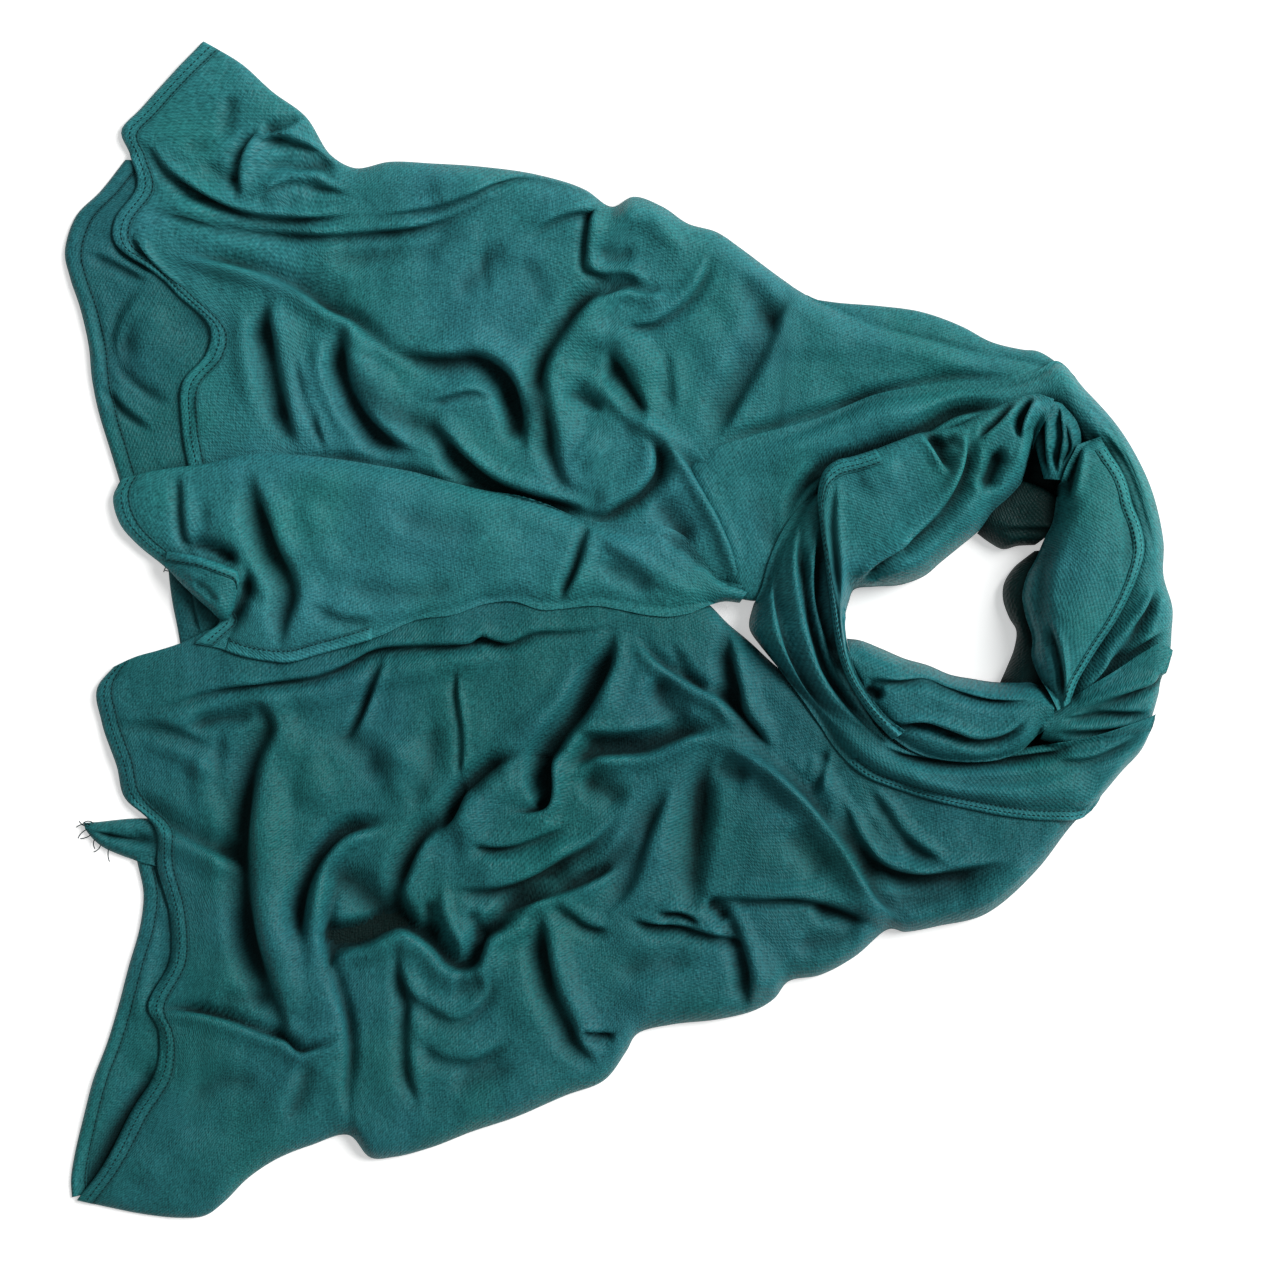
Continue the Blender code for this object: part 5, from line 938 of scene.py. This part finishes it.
ringTopWrap = {
    "node": "ring_top_wrap", "slot": "cloth_upper", "tone": "lit", "cell": 1.6, "farZ": 28, "nearZ": 6,
    "nearRoll": 20,
    "sections": [
        (257, 136, 253, 126, 40), (246, 139.5, 247, 114, 42), (233, 136, 243.5, 100, 43),
        (222, 131, 239, 87, 43), (212, 126.5, 231, 78, 43), (202, 121, 222, 70, 43),
        (190, 118, 213.5, 58, 43), (177, 116, 203, 49, 42), (163, 111, 192, 40, 42),
        (149, 105.5, 181, 31, 41), (138, 102, 167, 26, 41), (127, 99, 152, 25, 40),
        (120, 92, 140, 23.5, 40), (117, 79, 136.5, 16, 40), (118, 65, 134.5, 9, 40),
        (120, 50, 133.5, 3, 40), (122, 35, 134, -4, 40), (124, 19, 135, -11, 40), (126, 3, 137, -19, 40),
        (129, -14, 141, -29, 41), (134, -29, 147, -39, 42), (142, -43, 154, -48, 43),
        (151, -55, 162, -56, 43), (161, -66, 169, -61, 42),
    ],
    "folds": [
        ("first ridge", 5, 8, 9, 11, (150, 34), (172, 52), (190, 70), (200, 86), (205, 102), (206, 122)),
        ("ridge top", 3, 0, 6, 6, (150, 40), (162, 55), (180, 74), (196, 90), (200, 106)),
        ("front pleat", 3, 6, 8, 7, (141, 26), (148, 34), (160, 44), (176, 54)),
        ("thin crease", 3, 8, 8, 10, (194, 92), (188, 102), (182, 112), (174, 120)),
        ("dark corner", 0, 9, 10, 10, (182, 116), (192, 110), (200, 116)),
        ("oval hollow", 0, 11, 10, 10, (226, 108), (220, 94), (214, 80)),
        ("right ridge", 5, 0, 7, 7, (240, 116), (238, 100), (230, 84), (216, 70)),
        ("knot slot", 4, 10, 7, 7, (246, 138), (240, 126), (236, 112)),
        ("knot line", 4, 8, 7, 7, (236, 136), (226, 124), (210, 110)),
        ("corner line", 2.5, 4, 7, 7, (128, 92), (127, 60), (130, 30), (131, 0), (134, -22)),
        ("left swell", 3, 0, 14, 14, (142, 84), (156, 92), (168, 92)),
    ],
    "hems": [{"node": "ring_top_wrap_hem", "edge": "far", "span": (0.40, 0.96), "rows": (2.4, 5.4, 8.0),
              "width": 9.6, "raise": 1.5}],
}
stretches = [upperBackEnd, lowerBackEnd, middleBackEnd, cornerTab, outerBackStrip, upperTail, lowerTail,
             middleFlap, turnedCorner, ringBand, ringInnerTop, ringInnerRight, ringFan, ringLeftWrap,
             ringStrands, ringInnerBottom, ringRightWrap, ringTopWrap]


class Wire:
    # a socket of a material, on which sums add their Math nodes

    def __init__(self, tree, socket=None):
        self.tree = tree
        self.socket = socket

    def node(self, kind, settings, inputs, output=0):
        made = self.tree.nodes.new(kind)
        for key, value in settings.items():
            if key == "stops":
                ramp = made.color_ramp
                while len(ramp.elements) < len(value):
                    ramp.elements.new(0.5)
                for element, (place, colour) in zip(ramp.elements, value):
                    element.position = place
                    element.color = (*colour, 1.0)
            else:
                setattr(made, key, value)
        for key, value in inputs.items():
            if isinstance(value, Wire):
                self.tree.links.new(value.socket, made.inputs[key])
            else:
                made.inputs[key].default_value = value
        return Wire(self.tree, made.outputs[output])

    def sum(self, operation, first, second):
        return self.node("ShaderNodeMath", {"operation": operation}, {0: first, 1: second})

    def __add__(self, other):
        return self.sum("ADD", self, other)

    __radd__ = __add__

    def __sub__(self, other):
        return self.sum("SUBTRACT", self, other)

    def __rsub__(self, other):
        return self.sum("SUBTRACT", other, self)

    def __mul__(self, other):
        return self.sum("MULTIPLY", self, other)

    __rmul__ = __mul__

    def __truediv__(self, other):
        return self.sum("DIVIDE", self, other)

    def __pow__(self, other):
        return self.sum("POWER", self, other)

    def mix(self, kind, first, second):
        # the wire is the factor between two colours
        settings = {"data_type": "RGBA", "blend_type": kind}
        return self.node("ShaderNodeMix", settings, {0: self, 6: first, 7: second}, 2)


# The cloth's colours and surface. Threads are sizes in millimetres. The lit, mid, low and dark colours are copies of
# one teal in painted light and painted shade.
finishAndPaintedLight = {
    "lit": (0.0205, 0.155, 0.171),
    "mid": (0.0150, 0.128, 0.142),
    "low": (0.0128, 0.110, 0.122),
    "dark": (0.0024, 0.022, 0.021),
    "hem": 1.12,
    "stitch": (0.0035, 0.026, 0.029),
    "roughness": 0.52,
    "specular": 0.14,
    "sheen": 0.07,
    "sheenTint": (0.15, 0.62, 0.62, 1.0),
    "warp": 0.95,
    "weft": 1.25,
    "threadDepth": 0.15,
    "creaseDepth": 0.55,
    "pocketShade": 0.86,
    "crestLight": 0.30,
    "threadScale": 900.0,
    "threadTone": 0.27,
    "greener": (0.84, 1.00, 0.91),
    "bluer": (1.12, 1.02, 1.05),
}


def clothMaterial(name, colour, hem=False):
    material = bpy.data.materials.new(name)
    material.use_nodes = True
    tree = material.node_tree
    shader = tree.nodes["Principled BSDF"]
    start = Wire(tree)
    place = start.node("ShaderNodeUVMap", {"uv_map": "weave"}, {})
    spot = start.node("ShaderNodeNewGeometry", {}, {}, 0)
    parts = tree.nodes.new("ShaderNodeSeparateXYZ")
    tree.links.new(place.socket, parts.inputs[0])
    u, v = Wire(tree, parts.outputs[0]), Wire(tree, parts.outputs[1])
    drift = start.node("ShaderNodeTexNoise", {}, {"Vector": place, "Scale": 60.0, "Detail": 2.0}, 0)
    slub = start.node("ShaderNodeTexNoise", {}, {"Vector": place, "Scale": 420.0, "Detail": 3.0}, 0)
    longWays = start.node("ShaderNodeCombineXYZ", {}, {0: u * 0.28, 1: v}, 0)
    crossWays = start.node("ShaderNodeCombineXYZ", {}, {0: u, 1: v * 0.28}, 0)
    threadScale = finishAndPaintedLight["threadScale"]
    longThreads = start.node("ShaderNodeTexNoise", {}, {"Vector": longWays, "Scale": threadScale, "Detail": 1.0}, 0)
    crossThreads = start.node("ShaderNodeTexNoise", {}, {"Vector": crossWays, "Scale": threadScale, "Detail": 1.0}, 0)
    weftTurns = 2 * math.pi * 1000 / finishAndPaintedLight["weft"]
    twill = start.node("ShaderNodeMath", {"operation": "SINE"}, {0: (u * 0.7 + v) * (weftTurns * 0.62) + slub * 4 + drift * 7})
    threads = (longThreads - 0.5) * 3.0 + (crossThreads - 0.5) * 3.0 + twill * 0.45 + (slub - 0.5) * 1.2
    wide = start.node("ShaderNodeTexNoise", {}, {"Vector": spot, "Scale": 14.0, "Detail": 3.0}, 0)
    crease = start.node("ShaderNodeTexNoise", {}, {"Vector": spot, "Scale": 85.0, "Detail": 4.0, "Roughness": 0.6}, 0)
    pocket = start.node("ShaderNodeAttribute", {"attribute_name": "pocket"}, {}, 2)
    tone = (drift - 0.5) * 0.18 + threads * finishAndPaintedLight["threadTone"] + 1.0
    # painted shade darkens the colour in slots, under other cloth and along hems; below nothing it is a painted
    # highlight that lightens it
    tone = tone * (1 - pocket * finishAndPaintedLight["pocketShade"])
    # greener and bluer at random over the cloth, from the lit or shaded copy of the teal, which is painted light
    green, blue = (tuple(min(1.0, c * 1.9 * k) for c, k in zip(colour, finishAndPaintedLight[key])) + (1.0,)
                   for key in ("greener", "bluer"))
    dyeAndPaintedLight = start.node("ShaderNodeMix", {"data_type": "RGBA"}, {0: (wide - 0.5) * 3.4 + 0.5, 6: green, 7: blue}, 2)
    shaded = start.node("ShaderNodeMix", {"data_type": "RGBA", "clamp_factor": False},
                        {0: tone * 0.52, 6: (0.0, 0.0, 0.0, 1.0), 7: dyeAndPaintedLight}, 2)
    tree.links.new(shaded.socket, shader.inputs["Base Color"])
    rough = (slub - 0.5) * 0.2 + pocket * 0.35 + (finishAndPaintedLight["roughness"] + (0.06 if hem else 0.0))
    tree.links.new(rough.socket, shader.inputs["Roughness"])
    relief = threads * (finishAndPaintedLight["threadDepth"] * cloth["mm"]) + crease * (finishAndPaintedLight["creaseDepth"] * cloth["mm"])
    bump = start.node("ShaderNodeBump", {}, {"Strength": 1.0, "Distance": 1.0, "Height": relief})
    tree.links.new(bump.socket, shader.inputs["Normal"])
    shader.inputs["Specular IOR Level"].default_value = finishAndPaintedLight["specular"]
    shader.inputs["Sheen Weight"].default_value = finishAndPaintedLight["sheen"] if colour != finishAndPaintedLight["dark"] else 0.0
    shader.inputs["Sheen Roughness"].default_value = 0.35
    shader.inputs["Sheen Tint"].default_value = finishAndPaintedLight["sheenTint"]
    return material


# lit, mid, low and dark copies of one teal: painted light and painted shade by where each stretch lies
materials = {tone: clothMaterial("teal satin " + tone, finishAndPaintedLight[tone]) for tone in ("lit", "mid", "low", "dark")}
hemMaterials = {tone: clothMaterial("teal hem " + tone, tuple(c * finishAndPaintedLight["hem"] for c in finishAndPaintedLight[tone]), True)
                for tone in ("lit", "mid", "low")}
stitchMaterial = clothMaterial("teal thread", finishAndPaintedLight["stitch"], True)
print("materials ready")


def addPiece(piece, material, nodes):
    piece.data.materials.append(material)
    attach(piece, "root")
    if nodes:
        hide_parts(*nodes)
    return piece


def contactShade(plan, level):
    # painted shade by how far each point lies below the cloth around it; less than nothing, a painted highlight, on a
    # crest
    i, j = heap.cells(plan)
    shade = np.zeros(len(plan))
    for grid, depth in softGrids:
        shade = np.maximum(shade, np.clip((grid[i, j] - level - 0.6) / depth, 0, 1))
    crest = np.clip((level - softGrids[1][0][i, j] - 0.4) / 6.0, 0, 1)
    return shade - finishAndPaintedLight["crestLight"] * crest


walls = [layStretch(panel) for panel in stretches[:0]]
laid = []
for panel in stretches:
    wall = layStretch(panel)
    strips = [(hem, hemStrip(wall, hem)) for hem in panel.get("hems", [])]
    laid.append((panel, wall, strips))
    print("laid", panel["node"], len(wall["top"]), "points")

softGrids = [(heap.softened(heap.top, 10), 7.5), (heap.softened(heap.top, 60), 10.0)]
for panel, wall, strips in laid:
    tone = panel["tone"]
    # painted shade from the slots and from the cloth around, and a painted highlight on crests
    shade = np.clip(wall["pocket"] + contactShade(wall["plan"], wall["top"]), -1, 1)
    name = panel["node"].replace("_", "-") + "-cloth"
    piece = shellMesh(name, wall["plan"], wall["top"], wall["shape"], cloth["thickness"], wall["uv"], shade)
    addPiece(piece, materials[tone], [panel["node"]])
    goingWith = []
    for hem, strip in strips:
        hemName = hem["node"].replace("_", "-") + "-band"
        # the same painted shade and painted highlight on the hem band
        hemShade = np.clip(strip["pocket"] + contactShade(strip["plan"], strip["top"]), -1, 1)
        band = shellMesh(hemName, strip["plan"], strip["top"], strip["shape"], 0.7, strip["uv"], hemShade)
        addPiece(band, hemMaterials[tone], [hem["node"]] if hem.get("inCad", True) else [])
        vertices, faces = [], []
        for distance in hem["rows"]:
            more, moreFaces = stitchRow(strip, distance)
            faces += [tuple(i + len(vertices) for i in face) for face in moreFaces]
            vertices += more
        places = np.array(vertices)
        uv = places[:, :2].copy()
        places[:, 0] += cloth["planShift"][0]
        places[:, 1] += cloth["planShift"][1]
        # a little painted shade on the stitches
        thread = meshObject(hemName + "-stitches", places * cloth["mm"], np.array(faces), uv,
                            np.full(len(places), 0.1))
        addPiece(thread, stitchMaterial, [])
        goingWith += [band, thread]
ends = [looseThread(*row) for row in frayed]
places, quads = [], []
for vertices, faces in ends:
    quads += [tuple(i + len(places) for i in face) for face in faces]
    places += vertices
places = np.array(places)
frayUv = places[:, :2].copy()
places[:, :2] += np.array(cloth["planShift"])
# a little painted shade on the frayed threads
fray = meshObject("frayed-ends", places * cloth["mm"], np.array(quads), frayUv, np.full(len(places), 0.1))
addPiece(fray, stitchMaterial, [])
print("cloth meshes made")

# The hidden layers: rounded heaps of folded cloth, one layer at the rim and more inside it.
tailsHiddenLayers = {
    "node": "tails_hidden_layers", "slot": "cloth_inside", "cell": 4.0,
    "sections": [
        (-212, 296, -212, -304, 16), (-190, 282, -190, -294, 17), (-165, 262, -165, -288, 18),
        (-140, 262, -140, -298, 20), (-115, 262, -115, -294, 21), (-90, 260, -90, -284, 22),
        (-60, 256, -60, -274, 22), (-30, 248, -30, -260, 22), (-5, 236, -5, -242, 22),
        (20, 238, 20, -222, 22), (45, 224, 48, -216, 22), (72, 208, 82, -206, 22),
        (93, 196, 126, -180, 22),
    ],
    "endOutline": [
        (0.00, 93, 196), (0.15, 90, 140), (0.27, 86, 96), (0.36, 66, 62), (0.43, 46, 32), (0.50, 40, 8),
        (0.56, 46, -14), (0.64, 76, -42), (0.72, 96, -76), (0.80, 106, -112), (0.90, 118, -152),
        (1.00, 126, -180),
    ],
}
ringHiddenLayers = {
    "node": "ring_hidden_layers", "slot": "cloth_inside", "cell": 4.0,
    "sections": [
        (92, -6, 125, -6, 36), (93, 10, 124, 6, 36), (98, 28, 126, 18, 36), (101, 52, 131, 28, 36),
        (99, 90, 140, 34, 36), (102, 140, 154, 36, 36), (116, 180, 170, 40, 36), (150, 174, 184, 48, 36),
        (185, 163, 197, 58, 36), (218, 153, 210, 68, 36), (243, 149, 224, 66, 36), (262, 144, 238, 62, 36),
        (277, 126, 250, 60, 36), (291, 108, 257, 54, 36), (303, 82, 255, 44, 36), (311, 54, 248, 34, 36),
        (311, 34, 243, 24, 36), (315, 14, 243, 14, 36), (315, -4, 246, 4, 36), (311, -22, 248, -4, 36),
        (305, -44, 246, -16, 36), (294, -66, 242, -28, 36), (276, -92, 236, -42, 36),
        (258, -116, 222, -43, 36), (236, -140, 206, -40, 36), (212, -156, 190, -36, 36),
        (182, -164, 176, -31, 36), (154, -160, 162, -26, 36), (132, -146, 150, -20, 36),
        (117, -110, 140, -18, 36), (107, -70, 133, -16, 36), (99, -38, 128, -13, 36),
        (93, -11, 125, -9.5, 36),
    ],
}
layer = {"height": 2.4, "width": 9.0, "gap": 0.6, "least": 1.0}
ceiling = heap.low
for _ in range(3):
    for axis in (0, 1):
        ceiling = np.minimum(ceiling, np.minimum(np.roll(ceiling, 1, axis), np.roll(ceiling, -1, axis)))
for panel in (tailsHiddenLayers, ringHiddenLayers):
    points, crown, shares, stations = planLattice(panel)
    rows, columns = points.shape[:2]
    plan = points.reshape(-1, 2)
    across = np.linalg.norm(points[:, 0] - points[:, -1], axis=1)
    inside = np.minimum(across[:, None] * np.minimum(shares, 1 - shares)[None],
                        np.minimum(stations, stations[-1] - stations)[:, None]).ravel()
    steps = inside / layer["width"]
    stepped = layer["height"] * (np.floor(steps) + rolledRise((steps - np.floor(steps)) * 3))
    i, j = heap.cells(plan)
    top = np.minimum(np.minimum(stepped + layer["least"], np.repeat(crown, columns)), ceiling[i, j] - layer["gap"])
    top = np.maximum(top, layer["least"])
    uv = np.stack([np.repeat(stations, columns), across.repeat(columns) * np.tile(shares, rows)], 1)
    # the hidden layers are seen only in shade: the dark copy of the teal and a painted shade of 0.6
    piece = shellMesh(panel["node"].replace("_", "-"), plan, top, (rows, columns), 60.0, uv,
                      np.full(len(top), 0.6))
    addPiece(piece, materials["dark"], [panel["node"]])
print("hidden layers made")

# The studio: a plain pale floor, soft light from the right, and the camera straight above.
studio = {
    "floorColour": (0.90, 0.90, 0.895),
    "floorGlow": 0.42,
    "worldStrength": 0.25,
    "keyStrength": 3.7,
    "keyFrom": (0.72, 0.36, 0.68),
    "keySpread": 34.0,
    "middle": (0.01266, -0.00615),
    "seen": 0.768,
    "cameraHeight": 3.2,
}
scene = bpy.context.scene
scene.view_settings.view_transform = "Standard"

floorMesh = meshObject("floor", np.array([(-4, -4, 0), (4, -4, 0), (4, 4, 0), (-4, 4, 0)], float),
                       np.array([(0, 1, 2, 3)]))
floorMaterial = bpy.data.materials.new("pale floor")
floorMaterial.use_nodes = True
floorShader = floorMaterial.node_tree.nodes["Principled BSDF"]
floorShader.inputs["Base Color"].default_value = (*studio["floorColour"], 1.0)
floorShader.inputs["Roughness"].default_value = 0.9
floorShader.inputs["Specular IOR Level"].default_value = 0.1
floorShader.inputs["Emission Color"].default_value = (1.0, 1.0, 1.0, 1.0)
floorShader.inputs["Emission Strength"].default_value = studio["floorGlow"]
floorMesh.data.materials.append(floorMaterial)

world = bpy.data.worlds.new("soft studio")
scene.world = world
world.use_nodes = True
world.node_tree.nodes["Background"].inputs["Color"].default_value = (1.0, 1.0, 1.0, 1.0)
world.node_tree.nodes["Background"].inputs["Strength"].default_value = studio["worldStrength"]

keyLight = bpy.data.lights.new("key", "SUN")
keyLight.energy = studio["keyStrength"]
keyLight.angle = math.radians(studio["keySpread"])
key = bpy.data.objects.new("key", keyLight)
scene.collection.objects.link(key)
from mathutils import Vector
key.rotation_mode = "QUATERNION"
key.rotation_quaternion = Vector(studio["keyFrom"]).to_track_quat("Z", "Y")

cameraData = bpy.data.cameras.new("camera")
cameraData.sensor_width = 36.0
cameraData.lens = 36.0 * studio["cameraHeight"] / studio["seen"]
cameraData.clip_end = 50.0
camera = bpy.data.objects.new("camera", cameraData)
camera.location = (*studio["middle"], studio["cameraHeight"])
scene.collection.objects.link(camera)
scene.camera = camera
print("studio ready")
